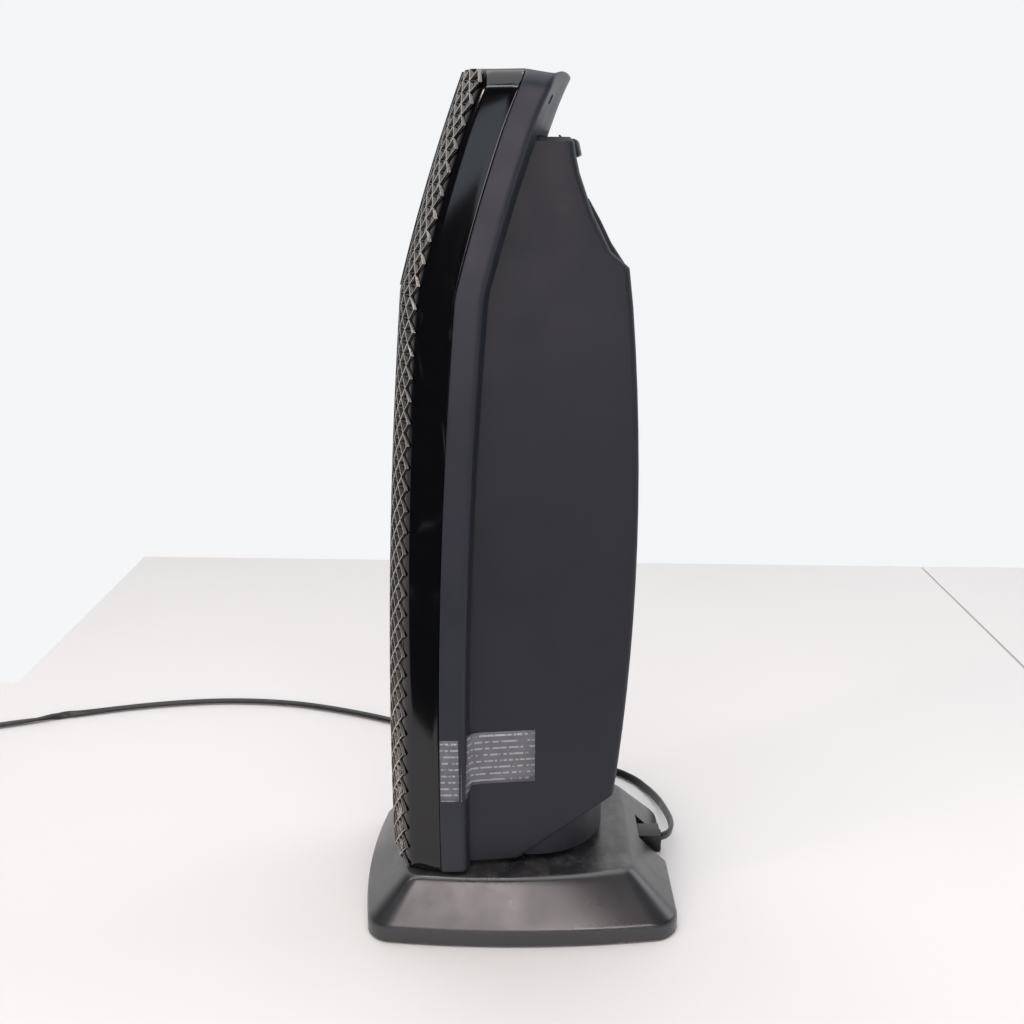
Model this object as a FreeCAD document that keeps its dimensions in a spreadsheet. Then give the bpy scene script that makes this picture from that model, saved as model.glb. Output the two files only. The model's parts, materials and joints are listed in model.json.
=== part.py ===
"""Ceramic tower heater: an oscillating column on a weighted base, built as separate pieces.

The frame is the heater's own: +Z up, the grille faces -Y, the table is z = 0, and the origin is the middle
of the base's footprint. All sizes are in millimetres. Driving sizes are in the spreadsheet "Sizes", and the
pieces are bound to them.
"""

import FreeCAD, Part
import math
import os

import Sketcher

Vector = FreeCAD.Vector
doc = FreeCAD.newDocument("CeramicTowerHeater")
sheet = doc.addObject("Spreadsheet::Sheet", "Sizes")

DRIVING_SIZES = {
    # the whole heater
    "total_height": 580,
    "wall": 2.5,
    "clearance": 0.4,
    # base: a low block with a bevelled top
    "foot_proud": 1.5,
    "foot_radius": 7,
    "base_half_width": 91,
    "base_front_half_width": 86,
    "base_rear_half_width": 84,
    "base_half_depth": 113,
    "base_front_bow": 5,
    "base_corner_radius": 20,
    "base_bow_radius": 600,
    "rim_top": 12,
    "deck_top": 45,
    "deck_half_width": 75,
    "deck_front_half_width": 73,
    "deck_rear_half_width": 64,
    "deck_front": 84,
    "deck_rear": 80.5,
    "deck_corner_radius": 10,
    "notch_left": -32,
    "notch_right": 2,
    "notch_inner": 91.5,
    "plate_thickness": 2.5,
    # swivel between base and column
    "swivel_y": 10,
    "post_radius": 17,
    "post_bore": 11,
    "swivel_gap": 5,
    "gear_module": 1,
    "gear_teeth": 60,
    "pinion_teeth": 12,
    "gear_low": 34,
    "gear_height": 4,
    # line of the column's front section, seen from the side: a slow arc up to the kink, then a tighter one
    "line_y": -38,
    "line_foot": 100,
    "line_curve": 4000,
    "kink_height": 445,
    "lean": 0.255,
    "lean_growth": 0.000481,
    # front section, measured from that line
    "section_bottom": 47.5,
    "frame_half_width": 72,
    "frame_depth": 17,
    "frame_back_bulge": 12,
    "bezel_rear_half_width": 70.4,
    "bezel_front_half_width": 62,
    "bezel_front": 38,
    "bezel_bulge": 13.5,
    "grille_thickness": 4.5,
    "outlet_half_width": 55,
    "outlet_bottom": 62,
    "outlet_top": 566,
    "lattice_width": 32,
    "lattice_height": 27.6,
    "lattice_rib": 4.2,
    # rear housing
    "housing_bottom": 50,
    "housing_top": 543,
    "housing_front_half_width": 62,
    "housing_rear_half_width": 47,
    "housing_front": -48,
    "housing_back": 79,
    "shoulder_y": 69.3,
    "shoulder_height": 463.5,
    "slope_y": 48,
    "slope_height": 494,
    "brow_y": 34,
    "brow_height": 530,
    "sole_y": 2,
    "heel_y": 67,
    "heel_height": 94,
    "back_bulge": 11,
    "housing_setback": 4,
    "skirt_radius": 52,
    "skirt_top": 90,
    # air inlet in the back
    "inlet_half_width": 34,
    "inlet_low": 150,
    "inlet_high": 385,
    "slot_height": 5,
    "slot_pitch": 12,
    # holder for the remote control, high on the back
    "pocket_half_width": 30,
    "pocket_low": 396,
    "pocket_high": 502,
    "pocket_proud": 3,
    # display window let into the grille
    "window_half_width": 9,
    "window_proud": 1,
    # blower and heating element
    "wheel_y": 28,
    "wheel_radius": 31,
    "wheel_low": 128,
    "wheel_high": 410,
    "blade_count": 18,
    "blade_chord": 8,
    "blade_thickness": 1.2,
    "blade_pitch": 30,
    "shaft_radius": 3,
    "motor_radius": 29,
    "motor_low": 72,
    "motor_high": 116,
    "element_half_width": 46,
    "element_low": 118,
    "element_high": 418,
    "element_front": -64,
    "element_depth": 16,
    # controls on the top
    "button_y": 13,
    "button_radius": 5,
    "button_travel": 1.2,
    "button_proud": 1,
    "button_pitch": 19,
    "board_height": 563,
    # cord
    "cord_diameter": 6,
    "exit_x": -15,
    "exit_y": 110,
    "exit_height": 24,
}


class Formula:
    """A length that carries both its value and the spreadsheet formula that gives it."""

    def __init__(self, value, text):
        self.value = float(value)
        self.text = text

    def joined(self, other, sign, value):
        return Formula(value, "(%s %s %s)" % (self.text, sign, other.text))

    def __add__(self, other):
        other = formula(other)
        return self.joined(other, "+", self.value + other.value)

    def __sub__(self, other):
        other = formula(other)
        return self.joined(other, "-", self.value - other.value)

    def __mul__(self, other):
        other = formula(other)
        return self.joined(other, "*", self.value * other.value)

    def __truediv__(self, other):
        other = formula(other)
        return self.joined(other, "/", self.value / other.value)

    def __radd__(self, other):
        return formula(other) + self

    def __rsub__(self, other):
        return formula(other) - self

    def __rmul__(self, other):
        return formula(other) * self

    def __neg__(self):
        return Formula(-self.value, "(0 - %s)" % self.text)


def formula(number):
    return number if isinstance(number, Formula) else Formula(number, "%.6g" % number)


class Sizes:
    """The spreadsheet's cells as formulas, by name."""

    def __init__(self, driving):
        for row, (name, value) in enumerate(driving.items(), start=1):
            sheet.set("A%d" % row, name)
            sheet.set("B%d" % row, "%.6g" % value)
            sheet.setAlias("B%d" % row, name)
            setattr(self, name, Formula(value, "Sizes.%s" % name))


s = Sizes(DRIVING_SIZES)
doc.recompute()


def read(name):
    """A driving size as the spreadsheet holds it, for the few shapes that are set by code."""
    return float(sheet.get(name))


# ---------------------------------------------------------------- places that several pieces share

PLATE_TOP = s.foot_proud + s.plate_thickness
UNDER_DECK = s.deck_top - s.wall
PLUNGER_X, PLUNGER_Y, PLUNGER_RADIUS, PLUNGER_LENGTH = 52, -60, 4, 17
FOOT_X, FOOT_Y = 68, 90
BASE_SCREW_X, BASE_SCREW_Y = 44, 97
SCREW_HEAD_RADIUS, SCREW_HEAD_HEIGHT = 3, 1
PINION_SHAFT_RADIUS = 2.5
PINION_Y = s.swivel_y - s.gear_module * (s.gear_teeth + s.pinion_teeth) / 2
SLOT_COUNT = int((read("inlet_high") - read("inlet_low")) / read("slot_pitch"))
PANEL_HALF, PANEL_FRONT, PANEL_REAR = 42, 6, 20
BUTTON_NAMES = ["power_button", "mode_button", "timer_button", "swing_button"]
BUTTON_PLACES = [(n, s.button_pitch * (n - 1.5)) for n in range(len(BUTTON_NAMES))]
BOARD_THICKNESS, SWITCH_HEIGHT = 1.6, 3.4
SHAFT_LOW, SHAFT_END = s.motor_high - 12, 12


# ---------------------------------------------------------------- sketches and features


def new_body(name):
    body = doc.addObject("PartDesign::Body", name)
    body.Label = name
    return body


def new_sketch(body, name, plane, offset=0):
    sketch = body.newObject("Sketcher::SketchObject", name)
    origin_plane = [f for f in body.Origin.OriginFeatures if f.Role == plane][0]
    sketch.AttachmentSupport = [(origin_plane, "")]
    sketch.MapMode = "FlatFace"
    offset = formula(offset)
    sketch.AttachmentOffset = FreeCAD.Placement(Vector(0, 0, offset.value), FreeCAD.Rotation())
    sketch.setExpression(".AttachmentOffset.Base.z", offset.text)
    return sketch


def dimension(sketch, kind, *arguments):
    """Adds one dimension to a sketch and binds it to its formula."""
    *where, length = arguments
    index = sketch.addConstraint(Sketcher.Constraint(kind, *where, length.value))
    sketch.setExpression("Constraints[%d]" % index, length.text)


def pin_point(sketch, geometry, position, x, y):
    """Ties a point of the sketch to formulas for its two coordinates."""
    for kind, length in (("DistanceX", formula(x)), ("DistanceY", formula(y))):
        dimension(sketch, kind, -1, 1, geometry, position, length)


def arc_between(start, end, radius):
    """An arc from start to end. A positive radius bulges to the right of the way from start to end."""
    chord = end - start
    middle = (start + end) / 2
    sagitta = abs(radius) - math.sqrt(max(radius * radius - chord.Length**2 / 4, 0))
    side = Vector(chord.y, -chord.x, 0).normalize() * math.copysign(sagitta, radius)
    return Part.Arc(start, middle + side, end)


def closed_outline(sketch, corners, bends=None):
    """A closed outline through corners, each (x, y, corner radius or None), bound to their formulas.

    bends gives a radius for each edge that is an arc, by the number of the corner that it starts from. Edges
    that are arcs end at square corners.
    """
    bends = bends or {}
    count = len(corners)
    place = [Vector(formula(x).value, formula(y).value, 0) for x, y, _ in corners]
    setback = [0.0] * count
    for i, (_, _, radius) in enumerate(corners):
        if radius is not None:
            back = (place[i - 1] - place[i]).normalize()
            ahead = (place[(i + 1) % count] - place[i]).normalize()
            setback[i] = formula(radius).value / math.tan(back.getAngle(ahead) / 2)
    edges = []
    for i in range(count):
        j = (i + 1) % count
        way = (place[j] - place[i]).normalize()
        start = place[i] + way * setback[i]
        end = place[j] - way * setback[j]
        if i in bends:
            edges.append(sketch.addGeometry(arc_between(start, end, formula(bends[i]).value), False))
        else:
            edges.append(sketch.addGeometry(Part.LineSegment(start, end), False))
    # Part.Arc always runs anticlockwise in a sketch, so the ends of an arc that bulges left are swapped
    first = [2 if i in bends and formula(bends[i]).value < 0 else 1 for i in range(count)]
    last = [3 - f for f in first]
    for i, (x, y, radius) in enumerate(corners):
        before, here = edges[i - 1], edges[i]
        if radius is None:
            sketch.addConstraint(Sketcher.Constraint("Coincident", before, last[i - 1], here, first[i]))
            pin_point(sketch, here, first[i], x, y)
            continue
        way_in = (place[i] - place[i - 1]).normalize()
        way_out = (place[(i + 1) % count] - place[i]).normalize()
        start, end = place[i] - way_in * setback[i], place[i] + way_out * setback[i]
        turn = way_in.cross(way_out).z
        arc = sketch.addGeometry(arc_between(start, end, math.copysign(formula(radius).value, turn)), False)
        arc_start, arc_end = (1, 2) if turn > 0 else (2, 1)
        sketch.addConstraint(Sketcher.Constraint("Tangent", before, last[i - 1], arc, arc_start))
        sketch.addConstraint(Sketcher.Constraint("Tangent", arc, arc_end, here, first[i]))
        dimension(sketch, "Radius", arc, formula(radius))
        apex = sketch.addGeometry(Part.Point(place[i]), True)
        pin_point(sketch, apex, 1, x, y)
        sketch.addConstraint(Sketcher.Constraint("PointOnObject", apex, 1, before))
        sketch.addConstraint(Sketcher.Constraint("PointOnObject", apex, 1, here))
    for i, radius in bends.items():
        size = formula(radius)
        dimension(sketch, "Radius", edges[i], size if size.value > 0 else -size)


def rectangle(sketch, x0, x1, y0, y1, radius=None):
    closed_outline(sketch, [(x0, y0, radius), (x1, y0, radius), (x1, y1, radius), (x0, y1, radius)])


def circle(sketch, x, y, radius):
    x, y, radius = formula(x), formula(y), formula(radius)
    index = sketch.addGeometry(Part.Circle(Vector(x.value, y.value, 0), Vector(0, 0, 1), radius.value), False)
    pin_point(sketch, index, 3, x, y)
    dimension(sketch, "Radius", index, radius)


def bind(piece, **formulas):
    for name, length in formulas.items():
        length = formula(length)
        setattr(piece, name, length.value)
        piece.setExpression(name, length.text)


def pad(body, sketch, length, both_ways=False, name="Pad"):
    feature = body.newObject("PartDesign::Pad", name)
    feature.Profile = sketch
    bind(feature, Length=length)
    feature.Midplane = both_ways
    return feature


def pocket(body, sketch, length, both_ways=False, backwards=False, name="Pocket"):
    feature = body.newObject("PartDesign::Pocket", name)
    feature.Profile = sketch
    bind(feature, Length=length)
    feature.Midplane = both_ways
    feature.Reversed = backwards
    return feature


def loft(body, sketches, ruled=False, subtractive=False, name="Loft"):
    kind = "PartDesign::SubtractiveLoft" if subtractive else "PartDesign::AdditiveLoft"
    feature = body.newObject(kind, name)
    feature.Profile = (sketches[0], [""])
    feature.Sections = [(sketch, [""]) for sketch in sketches[1:]]
    feature.Ruled = ruled
    return feature


def place(piece, x=0, y=0, z=0):
    """Moves a piece to bound coordinates, keeping its rotation."""
    for axis, length in (("x", formula(x)), ("y", formula(y)), ("z", formula(z))):
        piece.setExpression(".Placement.Base.%s" % axis, length.text)


def block(name, x0, x1, y0, y1, z0, z1):
    piece = doc.addObject("Part::Box", name)
    piece.Label = name
    bind(piece, Length=formula(x1) - x0, Width=formula(y1) - y0, Height=formula(z1) - z0)
    place(piece, x0, y0, z0)
    return piece


AXIS_TURNS = {
    "z": FreeCAD.Rotation(),
    "y": FreeCAD.Rotation(Vector(1, 0, 0), -90),
    "x": FreeCAD.Rotation(Vector(0, 1, 0), 90),
}


def rod(name, radius, length, x=0, y=0, z=0, axis="z"):
    piece = doc.addObject("Part::Cylinder", name)
    piece.Label = name
    bind(piece, Radius=radius, Height=length)
    piece.Placement = FreeCAD.Placement(Vector(), AXIS_TURNS[axis])
    place(piece, x, y, z)
    return piece


def joined(name, *pieces):
    piece = doc.addObject("Part::MultiFuse", name)
    piece.Label = name
    piece.Shapes = list(pieces)
    return piece


def less(name, base, *tools):
    tool = tools[0] if len(tools) == 1 else joined(name + "_tools", *tools)
    piece = doc.addObject("Part::Cut", name)
    piece.Label = name
    piece.Base = base
    piece.Tool = tool
    return piece


def shared(name, first, second):
    piece = doc.addObject("Part::Common", name)
    piece.Label = name
    piece.Base = first
    piece.Tool = second
    return piece


def tube(name, outer, inner, length, x=0, y=0, z=0, axis="z"):
    overrun = formula(1)
    start = {"x": (x - overrun, y, z), "y": (x, y - overrun, z), "z": (x, y, z - overrun)}
    return less(
        name,
        rod(name + "_outer", outer, length, x, y, z, axis),
        rod(name + "_bore", inner, formula(length) + 2 * overrun, *start[axis], axis),
    )


def group_of(name, pieces):
    """Several equal, separate solids as one node."""
    piece = doc.addObject("Part::Compound", name)
    piece.Label = name
    piece.Links = pieces
    return piece


# ---------------------------------------------------------------- the line that the front section follows

LOWER_HEIGHTS = [s.section_bottom, 150, 250, 350, s.kink_height]
UPPER_HEIGHTS = [s.kink_height, 490, 535, s.total_height]


def line_at(z):
    """How far back the front section stands at a height: the y of its rear edge."""
    z = formula(z)
    if z.value <= s.kink_height.value:
        rise = z - s.line_foot
        return s.line_y + rise * rise / (2 * s.line_curve)
    arc_rise = s.kink_height - s.line_foot
    at_kink = s.line_y + arc_rise * arc_rise / (2 * s.line_curve)
    above = z - s.kink_height
    return at_kink + s.lean * above + s.lean_growth * above * above


def arc_radius(half_chord, sagitta):
    """The radius of an arc from half its chord and its height."""
    half_chord, sagitta = formula(half_chord), formula(sagitta)
    return (half_chord * half_chord + sagitta * sagitta) / (2 * sagitta)


def column(body, outline, bottom, top, subtractive=False):
    """Lofts one outline along the front section's line, with its kink, between two heights.

    outline(sketch, y) draws the section on a level sketch for a line that stands at y.
    """
    bottom, top = formula(bottom), formula(top)
    stretches = []
    if bottom.value < s.kink_height.value:
        between = [formula(z) for z in LOWER_HEIGHTS[1:-1] if formula(z).value > bottom.value]
        stretches.append(("Lower", [bottom] + between + [s.kink_height]))
        bottom = s.kink_height
    between = [formula(z) for z in UPPER_HEIGHTS[1:-1] if bottom.value < formula(z).value < top.value]
    stretches.append(("Upper", [bottom] + between + [top]))
    for stretch, heights in stretches:
        sketches = []
        for number, z in enumerate(heights):
            sketch = new_sketch(body, "%s%sLevel%d" % (body.Name, stretch, number), "XY_Plane", z)
            outline(sketch, line_at(z))
            sketches.append(sketch)
        loft(body, sketches, subtractive=subtractive, name="%s%s" % (body.Name, stretch))


def frame_outline(inset, front_overrun=0):
    """The matte frame's section: straight sides and a back that bulges to the rear."""

    def draw(sketch, y):
        half = s.frame_half_width - inset
        front = y - s.frame_depth - front_overrun
        rear = y - inset
        closed_outline(
            sketch,
            [(-half, front, None), (half, front, None), (half, rear, None), (-half, rear, None)],
            {2: arc_radius(half, s.frame_back_bulge)},
        )

    return draw


def bezel_outline(inset, rear_overrun=0):
    """The glossy bezel's section: sides that close in to the front, and a bulging front."""

    def draw(sketch, y):
        rear_half = s.bezel_rear_half_width - inset
        front_half = s.bezel_front_half_width - inset
        rear = y - s.frame_depth + rear_overrun
        front = y - s.bezel_front + inset
        closed_outline(
            sketch,
            [(-front_half, front, None), (front_half, front, None),
             (rear_half, rear, None), (-rear_half, rear, None)],
            {0: arc_radius(front_half, s.bezel_bulge)},
        )

    return draw


def slab_outline(half, thickness):
    """A slab that lies on the bezel's bulging front."""
    half, thickness = formula(half), formula(thickness)

    def draw(sketch, y):
        bulge = s.bezel_bulge * half * half / (s.bezel_front_half_width * s.bezel_front_half_width)
        rear = y - s.bezel_front - (s.bezel_bulge - bulge)
        front = rear - thickness
        radius = arc_radius(half, bulge)
        closed_outline(
            sketch,
            [(-half, front, None), (half, front, None), (half, rear, None), (-half, rear, None)],
            {0: radius, 2: -radius},
        )

    return draw


# ---------------------------------------------------------------- base


def base_outline(sketch, half, front_half, rear_half, front, rear, bow, corner, inset=0):
    """The base's footprint: bowed sides and front, rounded corners."""
    corners = [
        (-(front_half - inset), -(front - bow - inset), corner),
        (0, -(front - inset), s.base_bow_radius),
        (front_half - inset, -(front - bow - inset), corner),
        (half - inset, 0, s.base_bow_radius),
        (rear_half - inset, rear - inset, corner),
        (-(rear_half - inset), rear - inset, corner),
        (-(half - inset), 0, s.base_bow_radius),
    ]
    closed_outline(sketch, corners)


def footprint(sketch, inset=0):
    base_outline(sketch, s.base_half_width, s.base_front_half_width, s.base_rear_half_width,
                 s.base_half_depth, s.base_half_depth, s.base_front_bow, s.base_corner_radius - inset, inset)


def deck(sketch, inset=0):
    base_outline(sketch, s.deck_half_width, s.deck_front_half_width, s.deck_rear_half_width,
                 s.deck_front, s.deck_rear, s.base_front_bow, s.deck_corner_radius - inset / 2, inset)


def make_base_casing():
    """Rim, bevelled sides and flat deck, hollow from below, with a notch behind and a bore for the post."""
    body = new_body("base_casing")
    rim = new_sketch(body, "RimOutline", "XY_Plane", s.foot_proud)
    footprint(rim)
    pad(body, rim, s.rim_top - s.foot_proud, name="Rim")
    low = new_sketch(body, "BevelFoot", "XY_Plane", s.rim_top)
    footprint(low)
    high = new_sketch(body, "BevelTop", "XY_Plane", s.deck_top)
    deck(high)
    loft(body, [low, high], ruled=True, name="Bevel")
    inner_low = new_sketch(body, "InnerRim", "XY_Plane", s.foot_proud)
    footprint(inner_low, s.wall)
    pocket(body, inner_low, s.rim_top - s.foot_proud, backwards=True, name="InnerRimPocket")
    inner_foot = new_sketch(body, "InnerBevelFoot", "XY_Plane", s.rim_top)
    footprint(inner_foot, s.wall)
    inner_top = new_sketch(body, "InnerBevelTop", "XY_Plane", s.deck_top - s.wall)
    deck(inner_top, s.wall)
    loft(body, [inner_foot, inner_top], ruled=True, subtractive=True, name="InnerBevel")
    notch = new_sketch(body, "NotchOutline", "XY_Plane", 0)
    rectangle(notch, s.notch_left, s.notch_right, s.notch_inner, s.base_half_depth + 5)
    pocket(body, notch, s.deck_top, backwards=True, name="Notch")
    bore = new_sketch(body, "PostBore", "XY_Plane", s.deck_top - 2 * s.wall)
    circle(bore, 0, s.swivel_y, s.post_radius + s.clearance)
    pocket(body, bore, 4 * s.wall, backwards=True, name="Bore")
    return body


def make_base_bottom_plate():
    body = new_body("base_bottom_plate")
    outline = new_sketch(body, "PlateOutline", "XY_Plane", s.foot_proud)
    footprint(outline, s.wall + s.clearance)
    pad(body, outline, s.plate_thickness, name="Plate")
    notch = new_sketch(body, "PlateNotch", "XY_Plane", 0)
    rectangle(notch, s.notch_left - s.clearance, s.notch_right + s.clearance, s.notch_inner - s.clearance,
              s.base_half_depth + 5)
    pocket(body, notch, s.rim_top, backwards=True, name="Notch")
    hole = new_sketch(body, "PlungerHole", "XY_Plane", 0)
    circle(hole, PLUNGER_X, PLUNGER_Y, PLUNGER_RADIUS + s.clearance)
    pocket(body, hole, s.rim_top, backwards=True, name="PlungerPocket")
    return body


def corners_of(half_width, front, rear):
    """Four places, two at the front and two at the rear."""
    return [(side * half_width, y) for y in (front, rear) for side in (-1, 1)]


def make_feet_and_screws():
    feet = [
        rod("foot_%d" % number, s.foot_radius, s.foot_proud, x, y, 0)
        for number, (x, y) in enumerate(corners_of(FOOT_X, -FOOT_Y, FOOT_Y))
    ]
    screw_low = s.foot_proud - SCREW_HEAD_HEIGHT
    screws = [
        rod("base_screw_%d" % number, SCREW_HEAD_RADIUS, SCREW_HEAD_HEIGHT, x, y, screw_low)
        for number, (x, y) in enumerate(corners_of(BASE_SCREW_X, -BASE_SCREW_Y, BASE_SCREW_Y))
    ]
    return [group_of("rubber_feet", feet), group_of("base_screws", screws)]


def make_oscillation_motor():
    """A flat geared motor on two posts, its shaft up through the pinion."""
    can_radius, can_height = 24, 16
    gearbox_radius, gearbox_height = 12, 4
    ear_reach, ear_half_depth, ear_thickness = 34, 5, 2
    post_radius, post_bore, post_x = 3.5, 1.2, 30
    shaft_low = PLATE_TOP + can_height + gearbox_height - 2
    ear_top = PLATE_TOP + can_height - 1
    motor = joined(
        "oscillation_motor",
        rod("osc_motor_can", can_radius, can_height, 0, PINION_Y, PLATE_TOP),
        rod("osc_motor_gearbox", gearbox_radius, gearbox_height, 0, PINION_Y, PLATE_TOP + can_height),
        rod("osc_motor_shaft", PINION_SHAFT_RADIUS, s.gear_low + s.gear_height - shaft_low, 0, PINION_Y,
            shaft_low),
        block("osc_motor_ears", -ear_reach, ear_reach, PINION_Y - ear_half_depth,
              PINION_Y + ear_half_depth, ear_top - ear_thickness, ear_top),
    )
    post_height = can_height - 1 - ear_thickness - 0.2
    posts = [
        tube("motor_post_%d" % number, post_radius, post_bore, post_height, side * post_x, PINION_Y,
             PLATE_TOP)
        for number, side in enumerate((-1, 1))
    ]
    return [motor, group_of("motor_posts", posts)]


def make_strain_relief():
    """The block in the notch that holds the cord, with a tail through the casing's wall."""
    block_half, block_low, block_high = 9, 16, 30
    tail_half, tail_low, tail_high, tail_reach = 6, 19, 27, 8
    nose_radius, nose_length = 5.5, 1
    fit = 0.2
    relief = joined(
        "cord_strain_relief",
        block("relief_block", s.exit_x - block_half, s.exit_x + block_half, s.notch_inner,
              s.exit_y - nose_length, block_low, block_high),
        rod("relief_nose", nose_radius, nose_length, s.exit_x, s.exit_y - nose_length, s.exit_height, "y"),
        block("relief_tail", s.exit_x - tail_half, s.exit_x + tail_half, s.notch_inner - tail_reach,
              s.notch_inner, tail_low, tail_high),
    )
    window = block("relief_window", s.exit_x - tail_half - fit, s.exit_x + tail_half + fit,
                   s.notch_inner - tail_reach - 2, s.notch_inner + 0.01, tail_low - fit, tail_high + fit)
    return relief, window


def make_base_parts():
    """Everything that stays on the table."""
    ballast_half, ballast_front, ballast_rear, ballast_height = 58, 50, 86, 8
    ballast = less(
        "ballast_plate",
        block("ballast_slab", -ballast_half, ballast_half, ballast_front, ballast_rear, PLATE_TOP,
              PLATE_TOP + ballast_height),
        rod("ballast_hole", 4, 20, 0, (ballast_front + ballast_rear) / 2, 0),
    )
    washer = tube("swivel_washer", s.post_radius + 14, s.post_radius + 2, s.swivel_gap - 0.2, 0, s.swivel_y,
                  s.deck_top)
    relief, relief_window = make_strain_relief()
    shell = less("base_shell", make_base_casing(), relief_window)
    case_half_width, case_half_depth, case_top = 8, 7, 25
    switch = less(
        "tip_over_switch",
        block("switch_case", PLUNGER_X - case_half_width, PLUNGER_X + case_half_width,
              PLUNGER_Y - case_half_depth, PLUNGER_Y + case_half_depth, PLATE_TOP + 3, case_top),
        rod("switch_bore", PLUNGER_RADIUS + 0.4, 20, PLUNGER_X, PLUNGER_Y, PLATE_TOP + 1),
    )
    return [shell, make_base_bottom_plate(), ballast, washer, relief, switch,
            *make_feet_and_screws(), *make_oscillation_motor()]


def make_tip_over_plunger():
    """Rests on the table, and springs out when the heater is lifted."""
    return rod("tip_over_plunger", PLUNGER_RADIUS, PLUNGER_LENGTH, PLUNGER_X, PLUNGER_Y, 0)


# ---------------------------------------------------------------- swivel and its drive


def gear_blank(name, teeth, span, x, y, z, height, bore, first_angle):
    """A spur gear, or a sector of one, with straight-sided teeth a little narrower than half the pitch."""
    module = read("gear_module")
    dedendum, addendum = 1.3 * module, 0.85 * module
    root_share, tip_share = 0.31, 0.12
    pitch_radius = module * teeth / 2
    root, tip = pitch_radius - dedendum, pitch_radius + addendum
    pitch_angle = 2 * math.pi / teeth
    points = []
    count = teeth if span is None else int(span / pitch_angle)
    for number in range(count):
        middle = first_angle + number * pitch_angle
        for radius, share in ((root, -root_share), (tip, -tip_share), (tip, tip_share), (root, root_share)):
            angle = middle + share * pitch_angle
            points.append(Vector(radius * math.cos(angle), radius * math.sin(angle), 0))
    if span is not None:
        rim_depth, steps = 6, 8
        hub = root - rim_depth
        last = first_angle + (count - 1 + root_share) * pitch_angle
        first = first_angle - root_share * pitch_angle
        for step in range(steps + 1):
            angle = last + (first - last) * step / steps
            points.append(Vector(hub * math.cos(angle), hub * math.sin(angle), 0))
    solid = Part.Face(Part.makePolygon(points + points[:1])).extrude(Vector(0, 0, height))
    if bore:
        solid = solid.cut(Part.makeCylinder(bore, height + 2, Vector(0, 0, -1)))
    piece = doc.addObject("Part::Feature", name)
    piece.Label = name
    piece.Shape = solid
    piece.Placement = FreeCAD.Placement(Vector(x, y, z), FreeCAD.Rotation())
    return piece


def make_swivel_parts():
    """The neck under the column, its hollow post, and the sector gear that the motor drives."""
    floor_low = s.deck_top + s.swivel_gap
    skirt = joined(
        "swivel_skirt",
        tube("skirt_wall", s.skirt_radius, s.skirt_radius - s.wall, s.skirt_top - floor_low, 0, s.swivel_y,
             floor_low),
        tube("skirt_floor", s.skirt_radius - s.wall / 2, s.post_bore, 3, 0, s.swivel_y, floor_low),
    )
    post_low = s.gear_low - 2
    post = tube("swivel_post", s.post_radius, s.post_bore, floor_low - post_low, 0, s.swivel_y, post_low)
    gear_top = s.gear_low + s.gear_height
    clip = tube("swivel_retainer", s.post_radius + 5, s.post_radius, UNDER_DECK - 0.3 - gear_top, 0,
                s.swivel_y, gear_top)
    teeth = int(read("gear_teeth"))
    sector_span = math.radians(132)
    pitch_angle = 2 * math.pi / teeth
    half_count = int(sector_span / pitch_angle) // 2
    first = -math.pi / 2 - half_count * pitch_angle
    rim = gear_blank("sector_rim", teeth, (2 * half_count + 1.5) * pitch_angle, 0, read("swivel_y"),
                     read("gear_low"), read("gear_height"), 0, first)
    disc = tube("sector_hub", s.post_radius + 7, s.post_radius, s.gear_height, 0, s.swivel_y, s.gear_low)
    sector = joined("sector_gear", rim, disc)
    pinion_teeth = int(read("pinion_teeth"))
    # a gap of the pinion faces the middle tooth of the sector
    pinion = gear_blank("oscillation_pinion", pinion_teeth, None, 0, PINION_Y.value, read("gear_low"),
                        read("gear_height"), PINION_SHAFT_RADIUS + 0.05, math.pi / 2 + math.pi / pinion_teeth)
    return [skirt, post, clip, sector], pinion


# ---------------------------------------------------------------- column casings


def make_rear_frame():
    body = new_body("rear_frame")
    column(body, frame_outline(0), s.section_bottom, s.total_height)
    column(body, frame_outline(s.wall, 1), s.section_bottom + s.wall, s.total_height - s.wall,
           subtractive=True)
    window = new_sketch(body, "HousingWindow", "XZ_Plane", 0)
    rectangle(window, -(s.housing_front_half_width + s.clearance), s.housing_front_half_width + s.clearance,
              s.section_bottom - 5, s.housing_top + s.clearance)
    pocket(body, window, 200, both_ways=True, name="HousingOpening")
    panel = new_sketch(body, "PanelHole", "XY_Plane", s.total_height - 2 * s.wall)
    rectangle(panel, -PANEL_HALF, PANEL_HALF, PANEL_FRONT, PANEL_REAR)
    pocket(body, panel, 4 * s.wall, backwards=True, name="PanelOpening")
    return body


def make_bezel():
    body = new_body("front_bezel")
    column(body, bezel_outline(0), s.section_bottom, s.total_height)
    column(body, bezel_outline(s.wall, 1), s.section_bottom + s.wall, s.total_height - s.wall,
           subtractive=True)
    outlet = new_sketch(body, "Outlet", "XZ_Plane", 60)
    rectangle(outlet, -s.outlet_half_width, s.outlet_half_width, s.outlet_bottom, s.outlet_top)
    pocket(body, outlet, 120, backwards=True, name="OutletOpening")
    return body


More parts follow.
